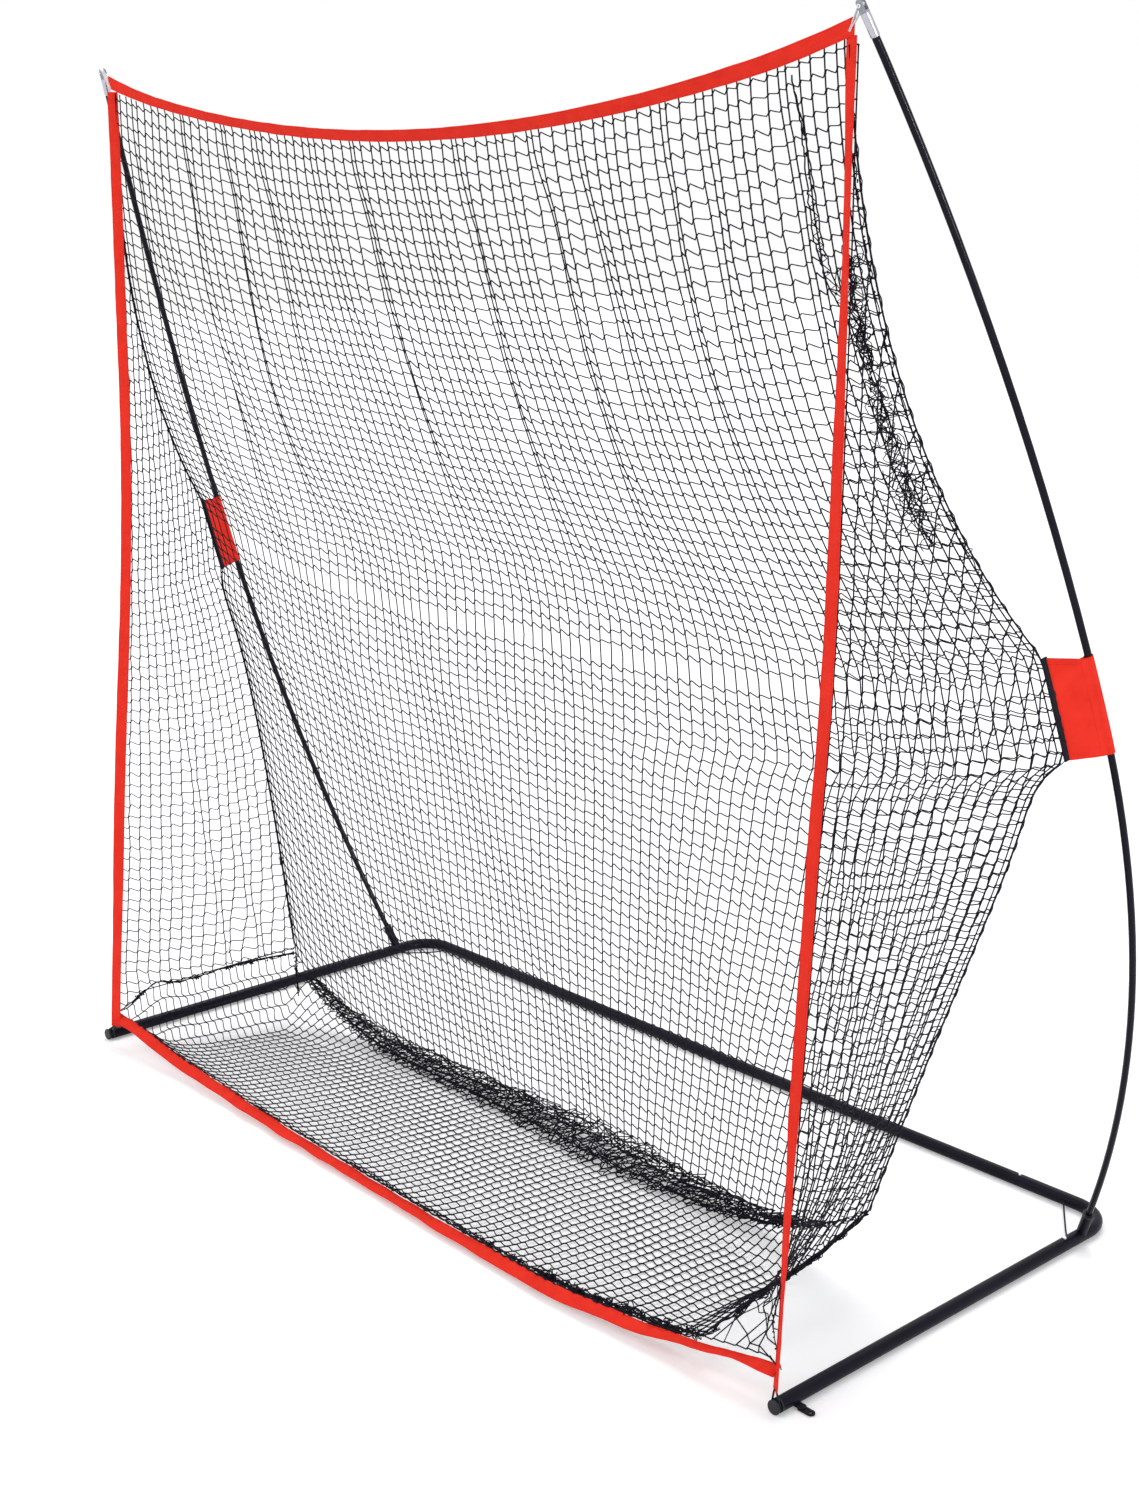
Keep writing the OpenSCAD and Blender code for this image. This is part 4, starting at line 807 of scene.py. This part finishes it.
def heap_grow(x):
    """How the gathered netting swells from its left end."""
    return 0.55 + 0.75 * smooth((x + 0.83) / 0.35)


def heap_slim(x):
    """How the gathered netting thins out to the right."""
    return 1 - 0.30 * smooth((x - 0.15) / 0.35) - 0.45 * smooth((x - 0.42) / 0.32)


def add_heap(sheets=2, rows=6, cols=84):
    """Spare netting of the back, lying in folds on the ground in front of it."""
    bundle = Bundle()
    for k in range(sheets):
        rng = np.random.default_rng(81 + k)
        x0 = np.linspace(-0.815 + 0.02 * k, 0.760 - 0.05 * k, cols)
        width, height = roll_size(x0)
        foot_y, foot_z = back_line(x0)
        grow = heap_grow(x0) - 0.35 * smooth((x0 - 0.05) / 0.5)
        grow = grow + 0.28 * np.exp(-((x0 - 0.22) / 0.20) ** 2)
        slim = heap_slim(x0)
        width, height = width * grow * slim + 0.010, height * grow * slim + 0.004
        grid = np.zeros((rows, cols, 3))
        for i in range(rows):
            t = i / (rows - 1)
            depth = t + 0.16 * waves(9 * x0 + 2.1 * i, 700 + 31 * k + i, 6, 2, 12)
            depth = np.clip(depth, -0.08, 1.06)
            dome = 0.25 + 0.75 * np.sqrt(np.clip(1 - (1.5 * depth - 0.5) ** 2, 0, 1))
            lift = (k + 0.6) / sheets * dome + 0.20 * waves(11 * x0 - 3 * i, 900 + 37 * k + i, 6, 2, 14)
            grid[i, :, 0] = x0 + 0.010 * waves(12 * x0 + 5 * i, 500 + 41 * k + i) \
                + rng.normal(0, 0.004, cols)
            grid[i, :, 1] = foot_y - 0.003 - width * depth + rng.normal(0, 0.003, cols)
            grid[i, :, 2] = foot_z + 0.0012 + height * np.clip(lift, 0, 1.25)
        weave_grid(bundle, grid, 182 + k, 1.7)
    # strands drawn tight along the front edge
    for k in range(4):
        x0 = np.linspace(-0.82, 0.84 - 0.06 * k, 190)
        width, height = roll_size(x0)
        foot_y, foot_z = back_line(x0)
        grow = heap_grow(x0) * heap_slim(x0)
        depth = 0.93 + 0.12 * waves(16 * x0, 1200 + k, 7, 1, 9)
        lift = 0.25 + 0.25 * waves(18 * x0, 1230 + k, 7, 1, 9)
        line = np.stack([x0, foot_y - 0.003 - width * grow * depth,
                         foot_z + 0.0015 + height * grow * np.clip(lift, 0, 1.2)], -1)
        bundle.tube(line, TWINE_R)
    # mesh caught against the back above the heap
    for k in range(60):
        rng = np.random.default_rng(2000 + k)
        at = rng.uniform(-0.75, 0.58)
        w, h = roll_size(at)
        y, z = back_line(at)
        t = np.linspace(0, 1, 9)
        loop = np.stack([at + rng.normal(0, 0.022) * np.sin(3 * t) + 0.06 * (t - 0.5),
                         y - 0.004 - w * rng.uniform(0.0, 0.9) * np.sin(math.pi * t),
                         z + 0.004 + 1.25 * h * rng.uniform(0.3, 1.0) * np.sin(math.pi * (0.1 + 0.8 * t))],
                        -1)
        bundle.tube(loop, TWINE_R)
    piece = bundle.finish("netting_heap", NET_TWINE)
    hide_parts("net_roll")


add_heap()


# ---- Bottom seam cords with their lashings ----
def add_seam_cord(side, name, node):
    rng = np.random.default_rng(201 + side)
    t = np.linspace(0.01, 0.985, 90)
    line = floor_seam(side, t)
    wave = 0.0035 if side < 0 else 0.0045
    line[:, 0] += wave * waves(16 * t, 202 + side, 7, 1, 5)
    line[:, 2] += wave * waves(18 * t, 203 + side, 7, 1, 5)
    bundle = Bundle()
    bundle.tube(sided(line, side), 1.5 * MM, 6)
    if side > 0:
        other = line + 0.003 * np.stack([np.sin(40 * t), 0 * t, np.cos(40 * t)], -1)
        bundle.tube(other, 1.2 * MM, 5)
    for k in range(14 if side > 0 else 8):
        i = int(rng.integers(6, 84))
        c = line[i]
        turn = np.linspace(0, 4.2 * math.pi, 22)
        coil = c + np.stack([0.0042 * np.cos(turn), np.linspace(-0.006, 0.006, 22),
                             0.0042 * np.sin(turn)], -1)
        bundle.tube(sided(coil, side), MM)
        for _ in range(2):
            end = c + rng.normal(0, 1, 3) * vec(0.0035, 0.004, 0.0025) + vec(0.002, 0, 0.002)
            bend = mix(c, end, 0.5) + rng.normal(0, 0.003, 3)
            bundle.tube(sided([c, bend, end], side), MM)
        bundle.knots(sided(c, side), 3.4 * MM, k)
    if side > 0:
        tangle(bundle, floor_seam(1, np.linspace(0.22, 0.99, 40)), side, 221, 0.0042, 2, 26)
    else:
        tangle(bundle, floor_seam(-1, np.linspace(0.68, 1.0, 14)), side, 271, 0.0050, 2, 16)
        tangle(bundle, [REAR_CORNER, REAR_CORNER + vec(0.004, 0.002, -0.050),
                        REAR_CORNER + vec(-0.010, -0.004, -0.105)], side, 291, 0.0050, 4, 18)
    piece = bundle.finish(name, NET_TWINE)
    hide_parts(node)


add_seam_cord(-1, "lacing_left", "seam_cord_left")
add_seam_cord(1, "lacing_right", "seam_cord_right")


# ---- Red tapes ----
TAPE_SECTION = ((-1.0, 0.0), (-0.97, 0.62), (-0.90, 0.95), (-0.80, 0.70), (-0.72, 0.92),
                (-0.35, 0.80), (0.0, 0.88), (0.35, 0.80), (0.72, 0.92), (0.80, 0.70),
                (0.90, 0.95), (0.97, 0.62), (1.0, 0.0))
SEAM_AT = 0.80  # of the half width, where the stitches run


def tape(name, middle, across, out, width, thick, node, material=RED_FABRIC,
         thread=RED_THREAD, pitch=0.0065, ripple=0.0005, seed=0):
    """A sewn band: its middle line, and for each point the directions across it and out of it."""
    section = np.array(TAPE_SECTION)
    section = np.concatenate([section, section[-2:0:-1] * vec(1, -1)])
    n, m = len(middle), len(section)
    run = run_along(middle)
    bulge = ripple * waves(60 * run, 300 + seed, 7, 0.5, 3)
    edge = 1 + 0.035 * waves(30 * run, 340 + seed, 6, 0.5, 3)
    rings = (middle[:, None] + (bulge[:, None] * out)[:, None]
             + (width / 2 * edge)[:, None, None] * section[None, :, :1] * across[:, None]
             + thick / 2 * section[None, :, 1:] * out[:, None])
    index = np.arange(n * m).reshape(n, m)
    quads = skin(index[:-1], index[1:])
    ends = [[index[0, k], index[0, k + 1], index[0, m - k - 1], index[0, (m - k) % m]]
            for k in range(m // 2)]
    ends += [[index[-1, k], index[-1, (m - k) % m], index[-1, m - k - 1], index[-1, k + 1]]
             for k in range(m // 2)]
    ends = [e for e in ends if len(set(e)) == 4]
    tips = []
    for row, order in ((index[0], 1), (index[-1], -1)):
        tips += [[row[0], row[1], row[m - 1]][::order],
                 [row[m // 2], row[m // 2 + 1], row[m // 2 - 1]][::order]]
    u = np.broadcast_to(section[None, :, 0] * width / 2, (n, m))
    uv = np.stack([u, np.broadcast_to(run[:, None], (n, m))], -1).reshape(-1, 2)
    band = make_piece(name, rings.reshape(-1, 3), np.concatenate([quads, ends]), tips,
                      material, uv=uv)
    count = int(run[-1] / pitch)
    at = (np.arange(count) + 0.5) / count * run[-1]
    stitches = Bundle()
    share = np.array([-0.36, 0.0, 0.36]) * pitch

    def on_run(values, where):
        return np.stack([np.interp(where, run, values[:, k]) for k in range(3)], -1)

    for line in (-SEAM_AT, SEAM_AT):
        for face in (-1, 1):
            where = np.clip(at[:, None] + share[None], 0, run[-1])
            height = thick / 2 * np.array([0.55, 0.92, 0.55])[None, :, None] * face
            swell = np.interp(where, run, bulge)[..., None]
            wide = np.interp(where, run, edge)[..., None]
            path = (on_run(middle, where) + swell * on_run(out, where)
                    + line * width / 2 * wide * on_run(across, where)
                    + height * on_run(out, where))
            stitches.tubes(path, np.array([0.16, 0.30, 0.16]) * MM)
    sewing = stitches.finish(name + "_stitches", thread)
    sewing.data.uv_layers[0].name = "Cloth"
    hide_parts(node)


def frame_of(middle, across):
    """Directions out of a band whose crosswise direction is given."""
    along = unit(np.gradient(middle, axis=0))
    across = unit(across - (across * along).sum(-1, keepdims=True) * along)
    return across, np.cross(across, along)


def turned(middle, across, angle):
    """The band's directions after a twist by angle at each point."""
    across, out = frame_of(middle, across)
    c, s = np.cos(angle)[:, None], np.sin(angle)[:, None]
    return c * across + s * out, c * out - s * across


RIGHT_TWIST = ((0.0, 0.50), (0.06, 0.62), (0.10, 0.68), (0.15, 0.66), (0.22, 0.58), (0.30, 0.46),
               (0.36, 0.40), (0.53, 0.10), (0.70, 0.05), (1.35, 0.05), (1.54, 0.22), (1.66, 0.34),
               (1.83, 0.56), (1.93, 0.48), (2.02, 0.32), (2.12, 0.20))
LEFT_TWIST = ((0.0, 0.36), (0.25, 0.40), (0.45, 0.75), (0.85, 0.75), (1.10, 0.55), (2.11, 0.50))
BOTTOM_TWIST = ((-1.03, 0.10), (-0.94, 0.25), (-0.80, 0.10), (-0.45, 0.30), (-0.20, 0.55),
                (0.15, 0.58), (0.30, 0.35), (0.42, 0.05), (0.62, 0.0), (0.75, 0.30), (0.86, 0.75),
                (0.93, 0.95), (0.97, 0.55), (1.03, 0.05))


def add_tapes():
    u = np.linspace(-1, 1, 190)
    middle = top_border(u) - vec(0, 0, TAPE_W / 2)
    ends = np.clip((np.abs(u) - 0.80) / 0.20, 0, 1) ** 2
    middle[:, 0] *= 1 + 0.006 * ends
    middle[:, 2] += 0.008 * ends
    middle[:, 1] += 0.0012 * waves(5 * u, 401)
    lean = -0.66 * (1 - u ** 6) + 0.05 * waves(9 * u, 402)
    out = turned(middle, np.broadcast_to(vec(0, 0, 1), middle.shape), lean)[1]
    across = np.stack([0 * lean, np.sin(lean), np.cos(lean)], -1)
    tape("tape_top", middle, across, out, TAPE_W, TAPE_T, "border_top", seed=1)
    for side, name, node in ((-1, "tape_left", "border_left"), (1, "tape_right", "border_right")):
        t = np.linspace(0.002, 0.994, 190)
        middle = side_border(side, t) - vec(TAPE_W / 2, 0, 0)
        z = middle[:, 2]
        angle = eased(RIGHT_TWIST if side > 0 else LEFT_TWIST, z) + 0.05 * waves(6 * z, 403 + side)
        # the twisted band keeps its outer edge on the net's outline
        middle[:, 0] += TAPE_W / 2 * (1 - np.cos(angle))
        across, out = turned(middle, np.broadcast_to(vec(1, 0, 0), middle.shape), angle)
        if side < 0:
            middle, across, out = middle * FLIP, across * FLIP, -out * FLIP
        tape(name, middle, across, out, TAPE_W, TAPE_T, node, seed=3 + side)
    x = np.linspace(-1.018, 1.029, 190)
    lie = vec(0, math.cos(TILT), math.sin(TILT))
    middle = bottom_border(x) + TAPE_W / 2 * lie
    middle[:, 2] += border_lift(x) + 0.0012 * (1 + waves(7 * x, 405)) * 0.5
    middle[:, 1] += 0.0030 * waves(6 * x, 407)
    angle = eased(BOTTOM_TWIST, x) + 0.16 * waves(7 * x, 406)
    across, out = turned(middle, np.broadcast_to(lie, middle.shape), angle)
    tape("tape_bottom", middle, across, out, TAPE_W, TAPE_T, "border_bottom",
         ripple=0.0012, seed=6)


add_tapes()


# ---- Sleeves on the poles ----
TAB_H, TAB_AT, TAB_REACH = 0.172, 1.185, 0.084
TAB_ANGLE = math.radians(-116)
CLOTH_T, EDGING_W = 0.0014, 0.007
LAYER = 0.0011  # from the pole, or from the middle between two layers, to a layer's own middle


def pulled(reach, v):
    """How far the netting draws a sleeve's cloth, at a reach from the pole and a share of height."""
    share = np.clip((np.asarray(reach, float) - 0.012) / (TAB_REACH - 0.012), 0, 1)
    return share[..., None] * mix(LOW_PULL, HIGH_PULL, v)


def add_sleeve(side, word):
    ring = POLE_R + LAYER
    tail = TAB_REACH - EDGING_W
    d = vec(math.cos(TAB_ANGLE), math.sin(TAB_ANGLE))
    n = vec(-d[1], d[0])
    # middle line of the cloth in cross section: down one layer, round the pole, back again
    path = [d * r + n * LAYER * min(1, (tail - r) / 0.010 + 0.55) for r in np.linspace(tail, 0.016, 12)]
    a0 = math.radians(32)
    for k in range(17):
        a = a0 + (2 * math.pi - 2 * a0) * k / 16
        path.append(ring * (math.cos(a) * d + math.sin(a) * n))
    path += [d * r - n * LAYER * min(1, (tail - r) / 0.010 + 0.55) for r in np.linspace(0.016, tail, 12)]
    path = np.array(path)
    tangent = unit(np.gradient(path, axis=0))
    normal = np.stack([tangent[:, 1], -tangent[:, 0]], -1)
    run = run_along(path)
    steps = np.linspace(TAB_AT - TAB_H / 2, TAB_AT + TAB_H / 2, 44)
    sheets = []
    for face in (1, -1):
        grid = np.zeros((len(steps), len(path), 3))
        for i, s in enumerate(steps):
            point, out_at, _ = pole_state(s)
            v = (s - steps[0]) / TAB_H
            reach = np.linalg.norm(path, axis=1)
            far = smooth((reach - 0.012) / 0.05)
            crease = far * (0.0011 * waves(26 * v + 40 * reach, 501 + side, 6, 0.5, 2.4)
                            + 0.0016 * np.sin(9 * v + 60 * reach) * (1 - far) * 2)
            q = path + normal * (face * CLOTH_T / 2) + n[None] * crease[:, None]
            grid[i] = point + q[:, :1] * out_at + q[:, 1:] * SIDE + pulled(reach, v)
        sheets.append(grid)
    outer, inner = sheets
    rows, cols = outer.shape[:2]
    points = np.concatenate([outer.reshape(-1, 3), inner.reshape(-1, 3)])
    index = np.arange(rows * cols).reshape(rows, cols)
    far_side = index + rows * cols
    quads = [np.stack([index[:-1, :-1], index[:-1, 1:], index[1:, 1:], index[1:, :-1]], -1),
             np.stack([far_side[:-1, :-1], far_side[1:, :-1], far_side[1:, 1:], far_side[:-1, 1:]], -1)]
    rim = [np.stack([index[0, 1:], index[0, :-1], far_side[0, :-1], far_side[0, 1:]], -1),
           np.stack([index[-1, :-1], index[-1, 1:], far_side[-1, 1:], far_side[-1, :-1]], -1),
           np.stack([index[:-1, 0], index[1:, 0], far_side[1:, 0], far_side[:-1, 0]], -1),
           np.stack([index[1:, -1], index[:-1, -1], far_side[:-1, -1], far_side[1:, -1]], -1)]
    quads = np.concatenate([q.reshape(-1, 4) for q in quads] + rim)
    if side < 0:
        quads = quads[:, ::-1]
    uv = np.stack(np.broadcast_arrays(run[None], (steps - steps[0])[:, None]), -1).reshape(-1, 2)
    sleeve = make_piece("sleeve_" + word, sided(points, side), quads, (), RED_FABRIC,
                        uv=np.concatenate([uv, uv]))
    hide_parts("sleeve_tab_" + word)
    # seams: two hems and the line that closes the sleeve round the pole
    sewing = Bundle()

    def stitch_line(s_of, r_of, count):
        for k in range(count):
            t = (k + np.array([0.14, 0.5, 0.86])) / count
            for face in (-1, 1):
                path3 = []
                for j, tt in enumerate(t):
                    s, r = s_of(tt), r_of(tt)
                    point, out_at, _ = pole_state(s)
                    v = (s - steps[0]) / TAB_H
                    far = smooth((r - 0.012) / 0.05)
                    q = d * r + n * (face * (LAYER + CLOTH_T / 2 + (0.00022 if j == 1 else -0.0001))
                                     + far * 0.0011 * float(waves(26 * v + 40 * r, 501 + side, 6, 0.5, 2.4)))
                    path3.append(point + q[0] * out_at + q[1] * SIDE + pulled(r, v))
                sewing.tube(sided(path3, side), 0.28 * MM)

    low, high = steps[0], steps[-1]
    for edge, sign in ((low, 1), (high, -1)):
        stitch_line(lambda t: edge + sign * 0.006, lambda t: mix(0.018, tail - 0.002, t), 15)
        stitch_line(lambda t: edge + sign * 0.010, lambda t: mix(0.018, tail - 0.002, t), 15)
    stitch_line(lambda t: mix(low + 0.004, high - 0.004, t), lambda t: 0.0175, 40)
    seam = sewing.finish("sleeve_seams_" + word, RED_THREAD)
    seam.data.uv_layers[0].name = "Cloth"
    # black binding over the net edge
    middle, across, out = [], [], []
    for s in np.linspace(low, high, 60):
        point, out_at, _ = pole_state(s)
        v = (s - low) / TAB_H
        way = d[0] * out_at + d[1] * SIDE
        middle.append(point + (TAB_REACH - EDGING_W / 2 + 0.0004) * way
                      + pulled(TAB_REACH - EDGING_W / 2, v))
        across.append(way)
        out.append(n[0] * out_at + n[1] * SIDE)
    middle, across, out = sided(middle, side), sided(across, side), sided(out, side)
    if side < 0:
        out = -out
    tape("binding_" + word, middle, across, out, EDGING_W + 0.004, 0.0046, "tab_edging_" + word,
         BLACK_BINDING, BLACK_BINDING, 0.004, 0.0004, 8 + side)


for side, word in ((-1, "left"), (1, "right")):
    add_sleeve(side, word)


# ---- Elastic loops, webbing loops and retaining cords ----
LOOP_Y, LOOP_CORD_R, NECK_R = -0.469679, 0.00175, 0.0075
TIP_FORK, TIP_LEN, TIP_BORE, TIP_R = 0.020, 0.036, 0.00608, 0.0071
# retaining cord, from the leg's axis to the rear bar's
KEEP_FROM, KEEP_TO = vec(LEG_X, 0.354203 - 0.026, TUBE_R), vec(0.926, 0.473121, TUBE_R)


def add_foot_loop(side, word):
    low, high = NECK_R + LOOP_CORD_R + 0.0003, LOOP_CORD_R + 0.0008
    corner_x = FRONT_CORNER[0] + (0.008 if side > 0 else -0.012)
    axis = vec(corner_x - LEG_X, FRONT_CORNER[2] - TUBE_R)
    lean = math.atan2(axis[0], axis[1])
    rise = float(np.linalg.norm(axis)) - high + 0.006
    reach = math.acos((low - high) / rise)
    points = []
    for a in np.concatenate([np.linspace(-reach, reach, 9), np.linspace(reach, 2 * math.pi - reach, 22)]):
        wrapped = a if a <= math.pi else a - 2 * math.pi
        top = abs(wrapped) <= reach + 1e-6 and len(points) < 9
        r, b = (high if top else low), wrapped + lean
        points.append((LEG_X + (rise * math.sin(lean) if top else 0) + r * math.sin(b), LOOP_Y,
                       TUBE_R + (rise * math.cos(lean) if top else 0) + r * math.cos(b)))
    points.append(points[0])
    path = spaced(points, 80)
    bundle = Bundle()
    turn = np.linspace(0, 60 * math.pi, 80)
    bundle.tube(sided(path, side), LOOP_CORD_R * (1 + 0.05 * np.sin(turn)), 10)
    piece = bundle.finish("elastic_loop_" + word, BLACK_CORD)
    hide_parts("foot_loop_" + word)


def add_tip_sleeve(side, word):
    """Metal sleeve on a pole's tip, with turned edges; as short as the photo shows it."""
    top = 2 * POLE_LEN - TIP_FORK
    profile = [(0, TIP_BORE), (0, TIP_BORE + 0.0006), (0.0004, TIP_R), (TIP_LEN - 0.0012, TIP_R),
               (TIP_LEN, TIP_R - 0.0009), (TIP_LEN, TIP_BORE)]
    profile[3:3] = [(x, TIP_R) for x in np.linspace(0.004, TIP_LEN - 0.005, 9)]
    turn = np.linspace(0, 2 * math.pi, 48, endpoint=False)
    rings = []
    for below, r in profile:
        point, out_at, _ = pole_state(top - below)
        rings.append(point + r * (np.cos(turn)[:, None] * out_at + np.sin(turn)[:, None] * SIDE))
    points = np.array(rings)
    index = np.arange(points.shape[0] * len(turn)).reshape(-1, len(turn))
    quads = skin(index, np.roll(index, -1, 0))
    if side > 0:
        quads = quads[:, ::-1]
    piece = make_piece("metal_sleeve_" + word, sided(points.reshape(-1, 3), side), quads, (),
                       TIP_ALUMINIUM, smooth_faces=False)
    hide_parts("tip_sleeve_" + word)


def add_tip_loop(side, word):
    point, _, along = pole_state(2 * POLE_LEN)
    pin = point - along * 0.008
    end = TOP_CORNER + vec(0.003, 0, 0.002)
    way = unit(end - pin)
    thick = unit(np.cross(SIDE, way))
    r = 0.0018 + 0.0003 + 0.0006
    middle = [end + 0.0009 * thick + 0.010 * way, end + 0.0009 * thick,
              mix(end, pin, 0.5) + (r * 0.9) * thick]
    for k in range(13):
        a = math.pi * k / 12
        middle.append(pin + r * (math.cos(a) * thick - math.sin(a) * way))
    middle += [mix(end, pin, 0.5) - (r * 0.9) * thick, end - 0.0009 * thick,
               end - 0.0009 * thick + 0.010 * way]
    middle = spaced(middle, 46)
    across, out = frame_of(middle, np.broadcast_to(SIDE, middle.shape))
    middle, across, out = sided(middle, side), sided(across, side), sided(out, side)
    if side < 0:
        out = -out
    tape("webbing_loop_" + word, middle, across, out, 0.0084, 0.0012, "tip_loop_" + word,
         WHITE_WEBBING, WHITE_WEBBING, 0.0035, 0.0, 12 + side)


def add_corner_cord(side, word):
    t = np.linspace(0, 1, 40)
    path = mix(KEEP_FROM, KEEP_TO, t[:, None])
    path[:, 2] -= 0.004 * np.clip(4 * t * (1 - t), 0, 1) * smooth((t - 0.12) / 0.2) * smooth((0.9 - t) / 0.2)
    bundle = Bundle()
    bundle.tube(sided(path, side), 1.7 * MM * (1 + 0.05 * np.sin(90 * t)), 10)
    piece = bundle.finish("corner_cord_" + word, BLACK_CORD)
    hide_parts("retaining_cord_" + word)


for side, word in ((-1, "left"), (1, "right")):
    add_foot_loop(side, word)
    add_tip_sleeve(side, word)
    add_tip_loop(side, word)
    add_corner_cord(side, word)


# ---- Studio ----
FLOOR_SIZE, FLOOR_Z = 30, -0.0002
FLOOR_GREY, FLOOR_GLOW = 0.90, 0.24
SKY, SKY_STRENGTH = (0.95, 0.97, 1.0, 1), 0.56


def direct_view(tree):
    """1 for rays that show the background as it is: camera, glossy and transmission."""
    light = tree.nodes.new("ShaderNodeLightPath")
    value = light.outputs["Is Camera Ray"]
    for name in ("Is Glossy Ray", "Is Transmission Ray"):
        node = tree.nodes.new("ShaderNodeMath")
        node.operation = "MAXIMUM"
        tree.links.new(value, node.inputs[0])
        tree.links.new(light.outputs[name], node.inputs[1])
        value = node.outputs[0]
    return value


def add_stage():
    mesh = bpy.data.meshes.new("Floor")
    size = FLOOR_SIZE
    mesh.from_pydata([(-size, -size, 0), (size, -size, 0), (size, size, 0), (-size, size, 0)], [],
                     [(0, 1, 2, 3)])
    floor = bpy.data.objects.new("Floor", mesh)
    floor.location.z = FLOOR_Z
    bpy.context.scene.collection.objects.link(floor)
    material = bpy.data.materials.new("studio_floor")
    material.use_nodes = True
    tree = material.node_tree
    shader = tree.nodes["Principled BSDF"]
    shader.inputs["Base Color"].default_value = (FLOOR_GREY, FLOOR_GREY, FLOOR_GREY, 1)
    shader.inputs["Roughness"].default_value = 0.9
    shader.inputs["Specular IOR Level"].default_value = 0.1
    glow = tree.nodes.new("ShaderNodeMath")
    glow.operation = "MULTIPLY"
    glow.inputs[1].default_value = FLOOR_GLOW
    tree.links.new(direct_view(tree), glow.inputs[0])
    shader.inputs["Emission Color"].default_value = (1, 1, 1, 1)
    tree.links.new(glow.outputs[0], shader.inputs["Emission Strength"])
    mesh.materials.append(material)

    world = bpy.data.worlds.new("Studio")
    bpy.context.scene.world = world
    world.use_nodes = True
    tree = world.node_tree
    tree.nodes.clear()
    out = tree.nodes.new("ShaderNodeOutputWorld")
    blend = tree.nodes.new("ShaderNodeMixShader")
    soft = tree.nodes.new("ShaderNodeBackground")
    white = tree.nodes.new("ShaderNodeBackground")
    soft.inputs["Color"].default_value = SKY
    soft.inputs["Strength"].default_value = SKY_STRENGTH
    white.inputs["Color"].default_value = (1, 1, 1, 1)
    white.inputs["Strength"].default_value = 1.0
    tree.links.new(direct_view(tree), blend.inputs[0])
    tree.links.new(soft.outputs[0], blend.inputs[1])
    tree.links.new(white.outputs[0], blend.inputs[2])
    tree.links.new(blend.outputs[0], out.inputs[0])


def add_sun(name, place, softness, strength):
    """A broad, even light that shines from place towards the origin."""
    data = bpy.data.lights.new(name, "SUN")
    data.angle = math.radians(softness)
    data.energy = strength
    lamp = bpy.data.objects.new(name, data)
    bpy.context.scene.collection.objects.link(lamp)
    lamp.location = place
    flat = math.hypot(place[0], place[1])
    lamp.rotation_euler = (math.atan2(flat, place[2]), 0, math.atan2(place[0], -place[1]))


add_stage()
add_sun("Top", (-1.4, 2.0, 4.4), 34, 1.25)
add_sun("Front", (-1.6, -3.2, 3.0), 60, 1.00)
add_sun("Glint", (4.0, -0.10, 0.56), 8, 1.0)
bpy.context.scene.view_settings.view_transform = "Standard"
